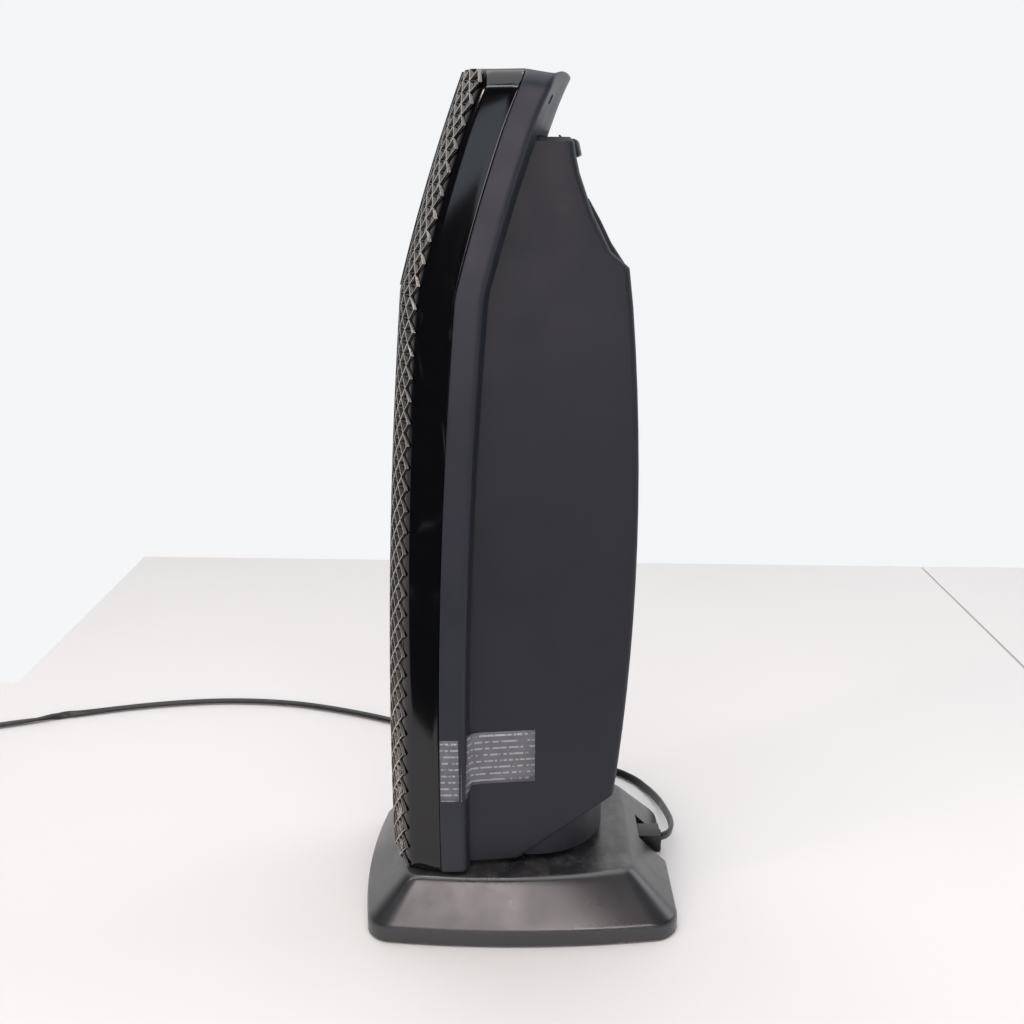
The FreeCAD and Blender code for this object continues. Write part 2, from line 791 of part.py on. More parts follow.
def make_grille():
    """The wrapped diamond lattice: a slab with lozenge openings, staggered row by row."""
    slab = new_body("grille_slab")
    column(slab, slab_outline(s.bezel_front_half_width, s.grille_thickness), s.section_bottom, s.total_height)
    width, height, rib = read("lattice_width"), read("lattice_height"), read("lattice_rib")
    half_wide, half_high = width / 2 - rib, height / 2 - rib
    depth = 150
    lozenges = []
    rows = int((read("outlet_top") - read("outlet_bottom")) / (height / 2)) - 1
    for row in range(rows):
        z = read("outlet_bottom") + (row + 1) * height / 2
        for step in (-1, 0, 1) if row % 2 else (-1.5, -0.5, 0.5, 1.5):
            beside_window = z > read("kink_height") and abs(step) < 1
            if beside_window:
                continue
            x = step * width
            corners = [Vector(x - half_wide, -depth, z), Vector(x, -depth, z - half_high),
                       Vector(x + half_wide, -depth, z), Vector(x, -depth, z + half_high)]
            lozenges.append(Part.Face(Part.makePolygon(corners + corners[:1])).extrude(Vector(0, depth, 0)))
    holes = doc.addObject("Part::Feature", "lattice_openings")
    holes.Label = "lattice_openings"
    holes.Shape = Part.makeCompound(lozenges)
    return less("front_grille", slab, holes, display_window)


def profile_pad(name, corners, bends, half_width):
    """A pad of a side profile, each corner (y, z, radius or None), across the column."""
    body = new_body(name)
    sketch = new_sketch(body, name + "Profile", "YZ_Plane", 0)
    closed_outline(sketch, corners, bends)
    pad(body, sketch, 2 * formula(half_width), both_ways=True)
    return body


def plan_pad(name, inset, low, high):
    """A pad of the housing's plan: wide at the front, narrower and rounded at the back."""
    body = new_body(name)
    sketch = new_sketch(body, name + "Plan", "XY_Plane", low)
    front_half = s.housing_front_half_width - inset
    rear_half = s.housing_rear_half_width - inset
    front, rear = s.housing_front - 30, s.housing_back + 2 - inset
    corner = formula(14) - inset
    closed_outline(sketch, [(-front_half, front, None), (front_half, front, None),
                            (front_half, s.housing_front, None), (rear_half, rear, corner),
                            (-rear_half, rear, corner), (-front_half, s.housing_front, None)])
    pad(body, sketch, formula(high) - low)
    return body


def housing_profile(inset, front_shift):
    """Side profile of the rear housing: leaning front, flat top, brow, sloping shoulder, barrel back."""
    top_front, kink_front, foot_front = [
        line_at(z) - s.housing_setback - front_shift for z in (s.housing_top, s.kink_height, s.housing_bottom)
    ]
    back = arc_radius((s.shoulder_height - s.heel_height) / 2, s.back_bulge)
    corners = [
        (foot_front, s.housing_bottom + inset, None),
        (s.sole_y, s.housing_bottom + inset, None),
        (s.heel_y - inset, s.heel_height + inset / 2, None),
        (s.shoulder_y - inset, s.shoulder_height - inset / 2, None),
        (s.slope_y - inset, s.slope_height, None),
        (s.brow_y - inset, s.brow_height - inset, None),
        (s.brow_y - 3 - inset, s.housing_top - inset, None),
        (top_front, s.housing_top - inset, None),
        (kink_front, s.kink_height, None),
        ((foot_front + kink_front) / 2 - 4, (s.housing_bottom + s.kink_height) / 2, None),
    ]
    return corners, {2: back}


def make_rear_housing():
    outer_corners, outer_bends = housing_profile(formula(0), formula(0))
    inner_corners, inner_bends = housing_profile(s.wall, formula(20))
    outer = shared(
        "housing_outer",
        profile_pad("housing_side", outer_corners, outer_bends, s.housing_front_half_width + 5),
        plan_pad("housing_plan", formula(0), s.housing_bottom - 5, s.housing_top + 5),
    )
    inner = shared(
        "housing_inner",
        profile_pad("housing_inner_side", inner_corners, inner_bends, s.housing_front_half_width + 5),
        plan_pad("housing_inner_plan", s.wall, s.housing_bottom - 5, s.housing_top + 5),
    )
    slot_lows = [s.inlet_low + number * s.slot_pitch for number in range(SLOT_COUNT)]
    slots = [
        block("inlet_slot_%d" % number, -s.inlet_half_width, s.inlet_half_width, s.heel_y - 5,
              s.housing_back + 12, low, low + s.slot_height)
        for number, low in enumerate(slot_lows)
    ]
    neck = rod("skirt_hole", s.skirt_radius + s.clearance, 60, 0, s.swivel_y, s.deck_top - 5)
    return less("rear_housing", outer, inner, neck, *slots)


def make_remote_pocket():
    """The raised plate high on the back, a shallow holder that stands proud of the housing."""
    corners, bends = housing_profile(-s.pocket_proud, formula(0))
    skin = shared(
        "pocket_skin",
        profile_pad("pocket_side", corners, bends, s.pocket_half_width + 1),
        block("pocket_reach", -s.pocket_half_width, s.pocket_half_width, s.brow_y + 3, s.housing_back + 12,
              s.pocket_low, s.pocket_high),
    )
    return less("remote_pocket", skin, doc.getObject("housing_outer"))


def make_label():
    """A blank film stuck on the side of the frame."""
    film, front, rear, low, high = 0.3, -53, -39, 104, 149
    return block("side_label", s.frame_half_width, s.frame_half_width + film, front, rear, low, high)


def make_case_screws():
    """Screws that hold the housing to the frame, in bosses inside the housing."""
    radius, length, half_spread, head_y = 2.5, 12, 53.2, -30
    return group_of("case_screws", [
        rod("case_screw_%d_%d" % (side, level), radius, length, side * half_spread, head_y, level, "y")
        for side in (-1, 1) for level in (140, 250, 360)
    ])


def make_column_cases():
    panel_hole = s.button_radius + 0.35
    panel = less(
        "control_panel",
        block("panel_plate", -PANEL_HALF + 0.15, PANEL_HALF - 0.15, PANEL_FRONT + 0.15, PANEL_REAR - 0.15,
              s.total_height - s.wall, s.total_height),
        *[rod("panel_hole_%d" % n, panel_hole, 10, x, s.button_y, s.total_height - 6)
          for n, x in BUTTON_PLACES],
    )
    return [make_rear_frame(), make_bezel(), make_grille(), make_rear_housing(), panel, make_remote_pocket(),
            make_label(), make_case_screws()]


def make_buttons():
    """Four push buttons, each free to sink by its travel onto its own switch."""
    pieces = []
    for (number, x), name in zip(BUTTON_PLACES, BUTTON_NAMES):
        low = s.board_height + BOARD_THICKNESS + SWITCH_HEIGHT + s.button_travel
        pieces.append(joined(
            name,
            rod(name + "_cap", s.button_radius, s.total_height + s.button_proud - low, x, s.button_y, low),
            rod(name + "_flange", s.button_radius + 1.5, 1.5, x, s.button_y, low),
        ))
    return pieces


# ---------------------------------------------------------------- what is inside the column


def make_wheel():
    """Crossflow wheel: three bays of slanted blades between discs, on a steel shaft."""
    wheel_height = s.wheel_high - s.wheel_low
    disc_thickness, bays = 2, 3
    discs = [
        rod("wheel_disc_%d" % n, s.wheel_radius, disc_thickness, 0, s.wheel_y,
            s.wheel_low + (wheel_height - disc_thickness) * n / bays)
        for n in range(bays + 1)
    ]
    count = int(read("blade_count"))
    blades = []
    for number in range(count):
        turn = 2 * math.pi * number / count
        blade = block("wheel_blade_%d" % number, 0, s.blade_chord, 0, s.blade_thickness, 0, wheel_height)
        angle = math.degrees(turn) + read("blade_pitch")
        blade.Placement.Rotation = FreeCAD.Rotation(Vector(0, 0, 1), angle)
        root = s.wheel_radius - s.blade_chord - 1
        place(blade, root * math.cos(turn), s.wheel_y + root * math.sin(turn), s.wheel_low)
        blades.append(blade)
    bore = rod("wheel_bore", s.shaft_radius, wheel_height + 4, 0, s.wheel_y, s.wheel_low - 2)
    wheel = less("blower_wheel", joined("wheel_body", *discs, *blades), bore)
    shaft = rod("blower_shaft", s.shaft_radius, s.wheel_high + SHAFT_END - SHAFT_LOW, 0, s.wheel_y, SHAFT_LOW)
    return [wheel, shaft]


def bracket(name, low, hole_radius):
    """A level plate across the column, with a hole round the shaft."""
    half_width, front, rear_reach, thickness = 44, -6, 34, 2.5
    return less(
        name,
        block(name + "_plate", -half_width, half_width, front, s.wheel_y + rear_reach, low, low + thickness),
        rod(name + "_hole", hole_radius, 10, 0, s.wheel_y, low - 3),
    )


def make_blower_parts():
    """The motor, the bearing, the two brackets, and the walls that guide the air."""
    bearing_radius, bearing_height = 7, 7
    shaft_fit = s.shaft_radius + 0.05
    motor = less(
        "blower_motor",
        rod("motor_can", s.motor_radius, s.motor_high - s.motor_low, 0, s.wheel_y, s.motor_low),
        rod("motor_bore", shaft_fit, 40, 0, s.wheel_y, SHAFT_LOW - 1),
    )
    top_plate_low = s.wheel_high + 4
    bearing = tube("upper_bearing", bearing_radius, shaft_fit, bearing_height, 0, s.wheel_y,
                   top_plate_low - 2)
    low = s.motor_high + 2.5
    span = top_plate_low - low
    ring = tube("scroll_ring", s.wheel_radius + 6, s.wheel_radius + 4.5, span, 0, s.wheel_y, low)
    keep = block("scroll_keep", -45, -5, s.wheel_y - 10, s.wheel_y + 45, low - 1, low + span + 2)
    tongue_x, tongue_thickness = 34, 2
    tongue = block("blower_tongue", tongue_x, tongue_x + tongue_thickness, s.wheel_y - 28, s.wheel_y + 4,
                   low, low + span)
    duct_half, duct_wall, duct_over = 50, 1.5, 6
    duct = less(
        "outlet_duct",
        block("duct_outside", -duct_half, duct_half, s.element_front + 1, s.wheel_y - 36,
              s.element_low - duct_over, s.element_high + duct_over),
        block("duct_inside", duct_wall - duct_half, duct_half - duct_wall, s.element_front - 5, s.wheel_y,
              s.element_low - duct_over + duct_wall, s.element_high + duct_over - duct_wall),
    )
    return [motor, bearing, bracket("upper_bracket", top_plate_low, bearing_radius),
            bracket("motor_bracket", s.motor_high, s.shaft_radius + 3), shared("blower_scroll", ring, keep),
            tongue, duct]


def make_element_parts():
    """The heating element: aluminium fins round ceramic stones, in a frame, with its terminals and cutout."""
    half, front, low, high = s.element_half_width, s.element_front + 2, s.element_low, s.element_high
    rear = front + s.element_depth
    side, rail = 3, 4
    frame = less(
        "heater_frame",
        block("heater_frame_outside", -half, half, front, rear, low, high),
        block("heater_frame_inside", side - half, half - side, front - 1, rear + 1, low + rail, high - rail),
    )
    stone_half, stone_places = 3, (-28, 0, 28)
    stones = group_of("ceramic_elements", [
        block("stone_%d" % n, x - stone_half, x + stone_half, front + 2, rear - 2, low + rail, high - rail)
        for n, x in enumerate(stone_places)
    ])
    left_ends = [side - half] + [formula(x + stone_half) for x in stone_places]
    right_ends = [formula(x - stone_half) for x in stone_places] + [half - side]
    gap_count, gap_height, gap_pitch = 24, 9, 12
    bays = []
    for bay, (x0, x1) in enumerate(zip(left_ends, right_ends)):
        gaps = [
            block("fin_gap_%d_%d" % (bay, n), x0 + 1, x1 - 1, front, rear, low + 2 * rail + gap_pitch * n,
                  low + 2 * rail + gap_pitch * n + gap_height)
            for n in range(gap_count)
        ]
        fins = block("fin_block_%d" % bay, x0, x1, front + 1, rear - 1, low + rail, high - rail)
        bays.append(less("fin_bay_%d" % bay, fins, *gaps))
    tab_x, tab_half, tab_height = 20, 2.5, 4
    terminals = group_of("heater_terminals", [
        block("terminal_%d" % n, sign * tab_x - tab_half, sign * tab_x + tab_half, front + 7, front + 8, high,
              high + tab_height)
        for n, sign in enumerate((-1, 1))
    ])
    cutout_x, cutout_radius, cutout_height, cutout_drop = 40, 6, 6, 20
    cutout = joined(
        "thermal_cutout",
        rod("cutout_can", cutout_radius, cutout_height, cutout_x, rear, high - cutout_drop, "y"),
        block("cutout_tabs", cutout_x - 2, cutout_x + 2, rear + cutout_height, rear + cutout_height + 4,
              high - cutout_drop - 1, high - cutout_drop + 1),
    )
    return [frame, stones, group_of("heater_fins", bays), terminals, cutout]


def make_electric_parts():
    """Boards, switches, relay, wires, and the filter behind the inlet slots."""
    board_half, board_front, board_rear = 38, 2, 18
    board_top = s.board_height + BOARD_THICKNESS
    board = block("control_board", -board_half, board_half, board_front, board_rear, s.board_height,
                  board_top)
    switch_half = 3
    switches = group_of("tact_switches", [
        block("tact_switch_%d" % n, x - switch_half, x + switch_half, s.button_y - switch_half,
              s.button_y + switch_half, board_top, board_top + SWITCH_HEIGHT)
        for n, x in BUTTON_PLACES
    ])
    power_y, power_low, power_high = 40, 424, 470
    power_board = block("power_board", -36, 36, power_y, power_y + BOARD_THICKNESS, power_low, power_high)
    relay = block("heater_relay", -30, -10, power_y - 16, power_y, power_low + 6, power_low + 20)
    filter_half, filter_margin, filter_thickness = 36, 4, 1.5
    filter_front = s.heel_y - 0.5
    filter_mesh = block("inlet_filter", -filter_half, filter_half, filter_front,
                        filter_front + filter_thickness, s.inlet_low - filter_margin,
                        s.inlet_high + filter_margin)
    harness_radius, harness_length, harness_x, harness_y, harness_low = 2.5, 300, 47.5, 12, 120
    harness = rod("wiring_harness", harness_radius, harness_length, harness_x, harness_y, harness_low)
    return [board, switches, power_board, relay, filter_mesh, harness]


def make_display_window():
    """A glossy strip let into the grille's middle, from the kink to the top."""
    window = new_body("display_window")
    outline = slab_outline(s.window_half_width, s.grille_thickness + s.window_proud)
    column(window, outline, s.kink_height + 3, s.total_height)
    return window


# ---------------------------------------------------------------- cord

CORD_ROUTE = [
    (-15, 110, 24), (-22, 121, 22.5), (-34, 128, 18), (-50, 130, 11.5), (-68, 129, 6), (-90, 127, 3.2),
    (-118, 121, 3.2), (-143, 106, 3.2), (-160, 82, 3.2), (-172, 48, 3.2), (-190, 6, 3.2), (-213, -38, 3.2),
    (-240, -82, 3.2), (-266, -128, 3.2), (-287, -176, 3.2), (-303, -226, 3.2), (-309, -281, 3.2),
    (-305, -336, 3.2), (-293, -389, 3.2), (-277, -437, 3.2), (-262, -477, 3.2), (-250, -508, 3.2),
    (-237, -543, 3.2), (-232, -559, 3.2),
]
COIL_X, COIL_Y = -190, -544
COIL_INNER, COIL_OUTER, COIL_HEIGHT = 35, 53, 9
PLUG_Y, PLUG_START, PLUG_LENGTH = -588, -140, 34


def cord_tube(name, route, diameter):
    """A round tube along straight runs, with an arc as large as its two runs allow at each inner point."""
    points = [Vector(*point) for point in route]
    edges = []
    here = points[0]
    radii = []
    for before, corner, after in zip(points, points[1:], points[2:]):
        way_in, way_out = (before - corner).normalize(), (after - corner).normalize()
        setback = 0.45 * min((corner - before).Length, (after - corner).Length)
        half_turn = (math.pi - way_in.getAngle(way_out)) / 2
        radii.append(setback / math.tan(half_turn))
        start, end = corner + way_in * setback, corner + way_out * setback
        towards_centre = (way_in + way_out).normalize()
        centre = corner + towards_centre * (radii[-1] / math.cos(half_turn))
        middle = centre - towards_centre * radii[-1]
        edges += [Part.LineSegment(here, start).toShape(), Part.Arc(start, middle, end).toShape()]
        here = end
    edges.append(Part.LineSegment(here, points[-1]).toShape())
    path = Part.Wire(edges)
    first_way = points[1] - points[0]
    section = Part.Wire([Part.makeCircle(diameter / 2, points[0], first_way)])
    solid = path.makePipeShell([section], True, False, 2)
    piece = doc.addObject("Part::Feature", name)
    piece.Label = name
    piece.Shape = solid
    expected = math.pi * diameter**2 / 4 * path.Length
    print("%s: length %.1f, volume %.0f of %.0f, radii %s" % (
        name, path.Length, solid.Volume, expected, " ".join("%.0f" % radius for radius in radii)))
    return piece


def make_cord_parts():
    diameter = read("cord_diameter")
    tube_piece = cord_tube("power_cord", CORD_ROUTE, diameter)
    coil = tube("cord_coil", COIL_OUTER, COIL_INNER, COIL_HEIGHT, COIL_X, COIL_Y, 0)
    lead_height = 5
    lead = rod("plug_lead", s.cord_diameter / 2, PLUG_START - COIL_X, COIL_X, PLUG_Y, lead_height, "x")
    neck_length, neck_half, grip_half, grip_height = 8, 6, 12, 16
    grip_start, plug_end = PLUG_START + neck_length, PLUG_START + PLUG_LENGTH
    plug = joined(
        "plug_body",
        block("plug_grip", grip_start, plug_end, PLUG_Y - grip_half, PLUG_Y + grip_half, 0, grip_height),
        block("plug_neck", PLUG_START, grip_start, PLUG_Y - neck_half, PLUG_Y + neck_half, 1, 12),
    )
    blade_length, blade_half_thickness, blade_half_width, blade_spread = 17, 0.8, 3.2, 6.35
    blade_low = (grip_height - 2 * blade_half_width) / 2
    blades = group_of("plug_blades", [
        block("plug_blade_%d" % n, plug_end, plug_end + blade_length,
              PLUG_Y + side * blade_spread - blade_half_thickness,
              PLUG_Y + side * blade_spread + blade_half_thickness, blade_low,
              blade_low + 2 * blade_half_width)
        for n, side in enumerate((-1, 1))
    ])
    return [tube_piece, coil, lead, plug, blades]


# ---------------------------------------------------------------- build, check and write

base_parts = make_base_parts()
plunger = make_tip_over_plunger()
swivel_parts, pinion = make_swivel_parts()
display_window = make_display_window()
cases = make_column_cases()
buttons = make_buttons()
air_parts = make_blower_parts()
wheel_parts = make_wheel()
nodes = base_parts + [plunger] + swivel_parts + [pinion] + cases + buttons + air_parts + wheel_parts
nodes += make_element_parts() + make_electric_parts() + [display_window] + make_cord_parts()
doc.recompute()
faults = [piece.Label for piece in doc.Objects if {"Invalid", "Error"} & set(piece.State)]
faults += [piece.Label for piece in nodes if piece.Shape.isNull() or not piece.Shape.isValid()]
if faults:
    raise RuntimeError("these pieces failed: %s" % ", ".join(faults))
os.makedirs("parts", exist_ok=True)
for piece in nodes:
    piece.Shape.exportStep("parts/%s.step" % piece.Label)
    print("%-20s %2d solids %9.0f mm3" % (piece.Label, len(piece.Shape.Solids), piece.Shape.Volume))
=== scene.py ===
"""Ceramic tower heater: the looks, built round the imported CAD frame. All lengths are metres."""

import json
import math

import bmesh
import bpy
from mathutils import Matrix, Vector


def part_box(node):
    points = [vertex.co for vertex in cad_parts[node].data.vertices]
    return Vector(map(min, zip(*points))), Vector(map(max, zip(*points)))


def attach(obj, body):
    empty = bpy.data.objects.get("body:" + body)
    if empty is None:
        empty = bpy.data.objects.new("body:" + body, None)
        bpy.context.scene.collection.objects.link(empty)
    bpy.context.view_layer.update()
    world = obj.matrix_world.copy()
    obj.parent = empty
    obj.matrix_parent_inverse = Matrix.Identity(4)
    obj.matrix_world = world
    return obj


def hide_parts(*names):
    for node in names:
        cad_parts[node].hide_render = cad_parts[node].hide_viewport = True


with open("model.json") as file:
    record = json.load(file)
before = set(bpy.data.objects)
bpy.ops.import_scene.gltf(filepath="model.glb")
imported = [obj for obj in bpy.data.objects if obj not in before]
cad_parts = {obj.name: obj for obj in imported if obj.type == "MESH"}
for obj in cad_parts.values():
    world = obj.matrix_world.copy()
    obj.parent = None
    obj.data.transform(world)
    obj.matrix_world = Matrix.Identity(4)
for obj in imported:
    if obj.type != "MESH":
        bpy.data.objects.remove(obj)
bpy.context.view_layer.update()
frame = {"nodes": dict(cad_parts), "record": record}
MM = 0.001
NODES = frame["nodes"]
BUTTONS = ("power_button", "mode_button", "timer_button", "swing_button")


def placed(name, data):
    """A new object in the scene for a mesh, curve, light or camera."""
    made = bpy.data.objects.new(name, data)
    bpy.context.scene.collection.objects.link(made)
    return made


# ---- camera

CAMERA_DIP = 15.86
camera_data = bpy.data.cameras.new("camera")
camera_data.lens = 42.19
camera_data.sensor_width = 36
camera_data.clip_start = 0.05
camera_data.clip_end = 50
camera = placed("camera", camera_data)
camera.location = (0.811, -0.005, 0.520)
camera.rotation_euler = (math.radians(90 - CAMERA_DIP), 0, math.radians(90))
bpy.context.scene.camera = camera

# ---- driving sizes, read back from the frame

base_low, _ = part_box("base_shell")
frame_low, frame_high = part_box("rear_frame")
_, bezel_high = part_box("front_bezel")
housing_low, housing_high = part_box("rear_housing")
_, grille_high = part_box("front_grille")

TOP = frame_high.z
SECTION_BOTTOM = frame_low.z
FRAME_HALF = frame_high.x
BEZEL_REAR_HALF = bezel_high.x
BEZEL_FRONT_HALF = grille_high.x
HOUSING_TOP = housing_high.z
HOUSING_BOTTOM = housing_low.z
FRAME_DEPTH = 17 * MM
BEZEL_DEPTH = 38 * MM
BEZEL_BULGE = 13.5 * MM
FRAME_BULGE = 12 * MM
CAP = HOUSING_TOP - 3 * MM

# the column's line in side view: a slow arc from LINE_LOW up to the kink, then a slope that steepens
KINK = 0.445
LINE_LOW = 0.1
LINE_START = -0.038
LINE_FLATNESS = 8.0
LEAN = 0.255
LEAN_GROWTH = 0.481

CROWN_START = 0.54


def line_at(z):
    """How far back the column's front section stands at a height."""
    if z <= KINK:
        return LINE_START + (z - LINE_LOW) ** 2 / LINE_FLATNESS
    at_kink = LINE_START + (KINK - LINE_LOW) ** 2 / LINE_FLATNESS
    above = z - KINK
    return at_kink + LEAN * above + LEAN_GROWTH * above * above


def crowned(point):
    """Lowers a point near the top: the top is domed, and its sides slope away from the parting line."""
    blend = max(0.0, min(1.0, (point[2] - CROWN_START) / (TOP - CROWN_START)))
    blend = blend * blend * (3 - 2 * blend)
    along = point[1] - (line_at(TOP) - FRAME_DEPTH)
    edge = min(1.0, abs(point[0]) / (70 * MM)) ** 4
    front_drop = 1.4 * MM * max(0.0, -along) / (25 * MM)
    frame_drop = 3.6 * MM * min(1.0, max(0.0, along) / FRAME_DEPTH)
    side = 3 * MM + front_drop + frame_drop
    rear = 4 * MM * (max(0.0, along - 15 * MM) / (14 * MM)) ** 2
    return point[0], point[1], point[2] - blend * (edge * side + rear)


# ---- mesh helpers


def new_object(name, mesh, body):
    """A piece of the look, which moves with a body."""
    piece = placed(name, mesh)
    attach(piece, body)
    return piece


def mesh_from(name, points, faces, body, smooth_angle):
    """A piece from points and faces: doubled points joined, normals outwards, smooth shading."""
    mesh = bpy.data.meshes.new(name)
    mesh.from_pydata([tuple(p) for p in points], [], faces)
    made = bmesh.new()
    made.from_mesh(mesh)
    bmesh.ops.remove_doubles(made, verts=made.verts, dist=1e-6)
    bmesh.ops.dissolve_degenerate(made, dist=1e-7, edges=made.edges)
    bmesh.ops.recalc_face_normals(made, faces=made.faces)
    made.to_mesh(mesh)
    made.free()
    shade(mesh, smooth_angle)
    return new_object(name, mesh, body)


def shade(mesh, angle):
    """Smooth shading with hard edges where the surface turns by more than the angle."""
    for face in mesh.polygons:
        face.use_smooth = True
    mesh.set_sharp_from_angle(angle=math.radians(angle))


def apply_modifiers(piece):
    """Makes the modifiers' result the piece's own mesh."""
    depsgraph = bpy.context.evaluated_depsgraph_get()
    mesh = bpy.data.meshes.new_from_object(piece.evaluated_get(depsgraph))
    piece.modifiers.clear()
    piece.data = mesh
    return piece


def rings_to_faces(count, length, closed=True):
    """Quads between successive rings of the same number of points."""
    faces = []
    steps = length if closed else length - 1
    for ring in range(count - 1):
        for step in range(steps):
            a, b = ring * length + step, ring * length + (step + 1) % length
            faces.append((a, b, b + length, a + length))
    return faces


def end_faces(count, length):
    """The two faces that close a tube of rings at its ends."""
    return [tuple(range(length)), tuple(range((count - 1) * length, count * length))]


def lid_faces(first, length):
    """Faces that close a ring of points from side to side, between its two mirrored halves."""
    faces = []
    for step in range(length // 2):
        a, b = first + step, first + length - 1 - step
        if a + 1 < b - 1:
            faces.append((a, a + 1, b - 1, b))
        elif a + 1 == b - 1:
            faces.append((a, a + 1, b))
    return faces


def eased(before, apex, after, steps):
    """Points of the curve that leaves before towards the apex and arrives at after, without its first."""
    made = []
    for n in range(1, steps + 1):
        t = n / steps
        made.append(tuple(before.lerp(apex, t).lerp(apex.lerp(after, t), t)))
    return made


def rounded(corners, steps):
    """A closed outline with rounded corners, each corner (x, y, radius)."""
    made = []
    count = len(corners)
    for i, (x, y, radius) in enumerate(corners):
        here = Vector((x, y))
        back = (Vector(corners[i - 1][:2]) - here).normalized()
        ahead = (Vector(corners[(i + 1) % count][:2]) - here).normalized()
        half = back.angle(ahead) / 2
        setback = radius / math.tan(half)
        centre = here + (back + ahead).normalized() * (radius / math.sin(half))
        start, end = here + back * setback, here + ahead * setback
        first = math.atan2(*(start - centre).yx)
        turn = (math.atan2(*(end - centre).yx) - first + math.pi) % (2 * math.pi) - math.pi
        for step in range(steps + 1):
            angle = first + turn * step / steps
            made.append((centre.x + radius * math.cos(angle), centre.y + radius * math.sin(angle)))
    return made


def solidify(piece, thickness, even=True):
    """Gives a surface a wall on its inside."""
    modifier = piece.modifiers.new("wall", "SOLIDIFY")
    modifier.thickness = thickness
    modifier.offset = -1
    modifier.use_even_offset = even
    return apply_modifiers(piece)


def bevel(piece, width, segments, angle=30):
    """Rounds the edges where the surface turns by more than the angle."""
    modifier = piece.modifiers.new("edges", "BEVEL")
    modifier.width = width
    modifier.segments = segments
    modifier.limit_method = "ANGLE"
    modifier.angle_limit = math.radians(angle)
    return apply_modifiers(piece)


def cut(piece, tool):
    """Takes the tool's volume out of the piece, and removes the tool."""
    modifier = piece.modifiers.new("cut", "BOOLEAN")
    modifier.operation = "DIFFERENCE"
    modifier.solver = "EXACT"
    modifier.object = tool
    apply_modifiers(piece)
    bpy.data.objects.remove(tool, do_unlink=True)


def tool_from(made):
    """A cutter from a bmesh."""
    mesh = bpy.data.meshes.new("tool")
    made.to_mesh(mesh)
    made.free()
    return placed("tool", mesh)


def box_tool(low, high):
    """A box-shaped cutter between two corners."""
    made = bmesh.new()
    bmesh.ops.create_cube(made, size=1)
    for vert in made.verts:
        vert.co = Vector([(l + h) / 2 + c * (h - l) for l, h, c in zip(low, high, vert.co)])
    return tool_from(made)


def drill(centre, radius, depth, axis="Y"):
    """A round cutter that runs along the Y or the Z axis."""
    made = bmesh.new()
    bmesh.ops.create_cone(made, cap_ends=True, segments=32, radius1=radius, radius2=radius, depth=depth)
    turn = Matrix.Rotation(math.radians(90), 4, "X") if axis == "Y" else Matrix.Identity(4)
    bmesh.ops.transform(made, matrix=Matrix.Translation(centre) @ turn, verts=made.verts)
    return tool_from(made)


def join_into(target, extra):
    """Adds one mesh to another."""
    made = bmesh.new()
    made.from_mesh(target.data)
    made.from_mesh(extra.data)
    made.to_mesh(target.data)
    made.free()
    bpy.data.objects.remove(extra, do_unlink=True)


# ---- materials


class Nodes:
    """A node tree under construction, with short names for what the surfaces below share."""

    def __init__(self, tree):
        self.tree = tree

    def feed(self, socket, value):
        """Links another node's output to a socket, or sets the socket to a number, size or colour."""
        if isinstance(value, bpy.types.NodeSocket):
            self.tree.links.new(value, socket)
        elif socket.type == "RGBA":
            socket.default_value = (*value, 1)
        else:
            socket.default_value = value

    def node(self, kind, inputs=None, **settings):
        """A new node with its settings and inputs."""
        made = self.tree.nodes.new(kind)
        for name, value in settings.items():
            setattr(made, name, value)
        for key, value in (inputs or {}).items():
            self.feed(made.inputs[key], value)
        return made

    def split(self, vector, axis):
        return self.node("ShaderNodeSeparateXYZ", {"Vector": vector}).outputs[axis]

    def map_range(self, value, span, result):
        """Carries a value's span over to the result's span."""
        inputs = {"Value": value, "From Min": span[0], "From Max": span[1], "To Min": result[0],
                  "To Max": result[1]}
        return self.node("ShaderNodeMapRange", inputs).outputs["Result"]


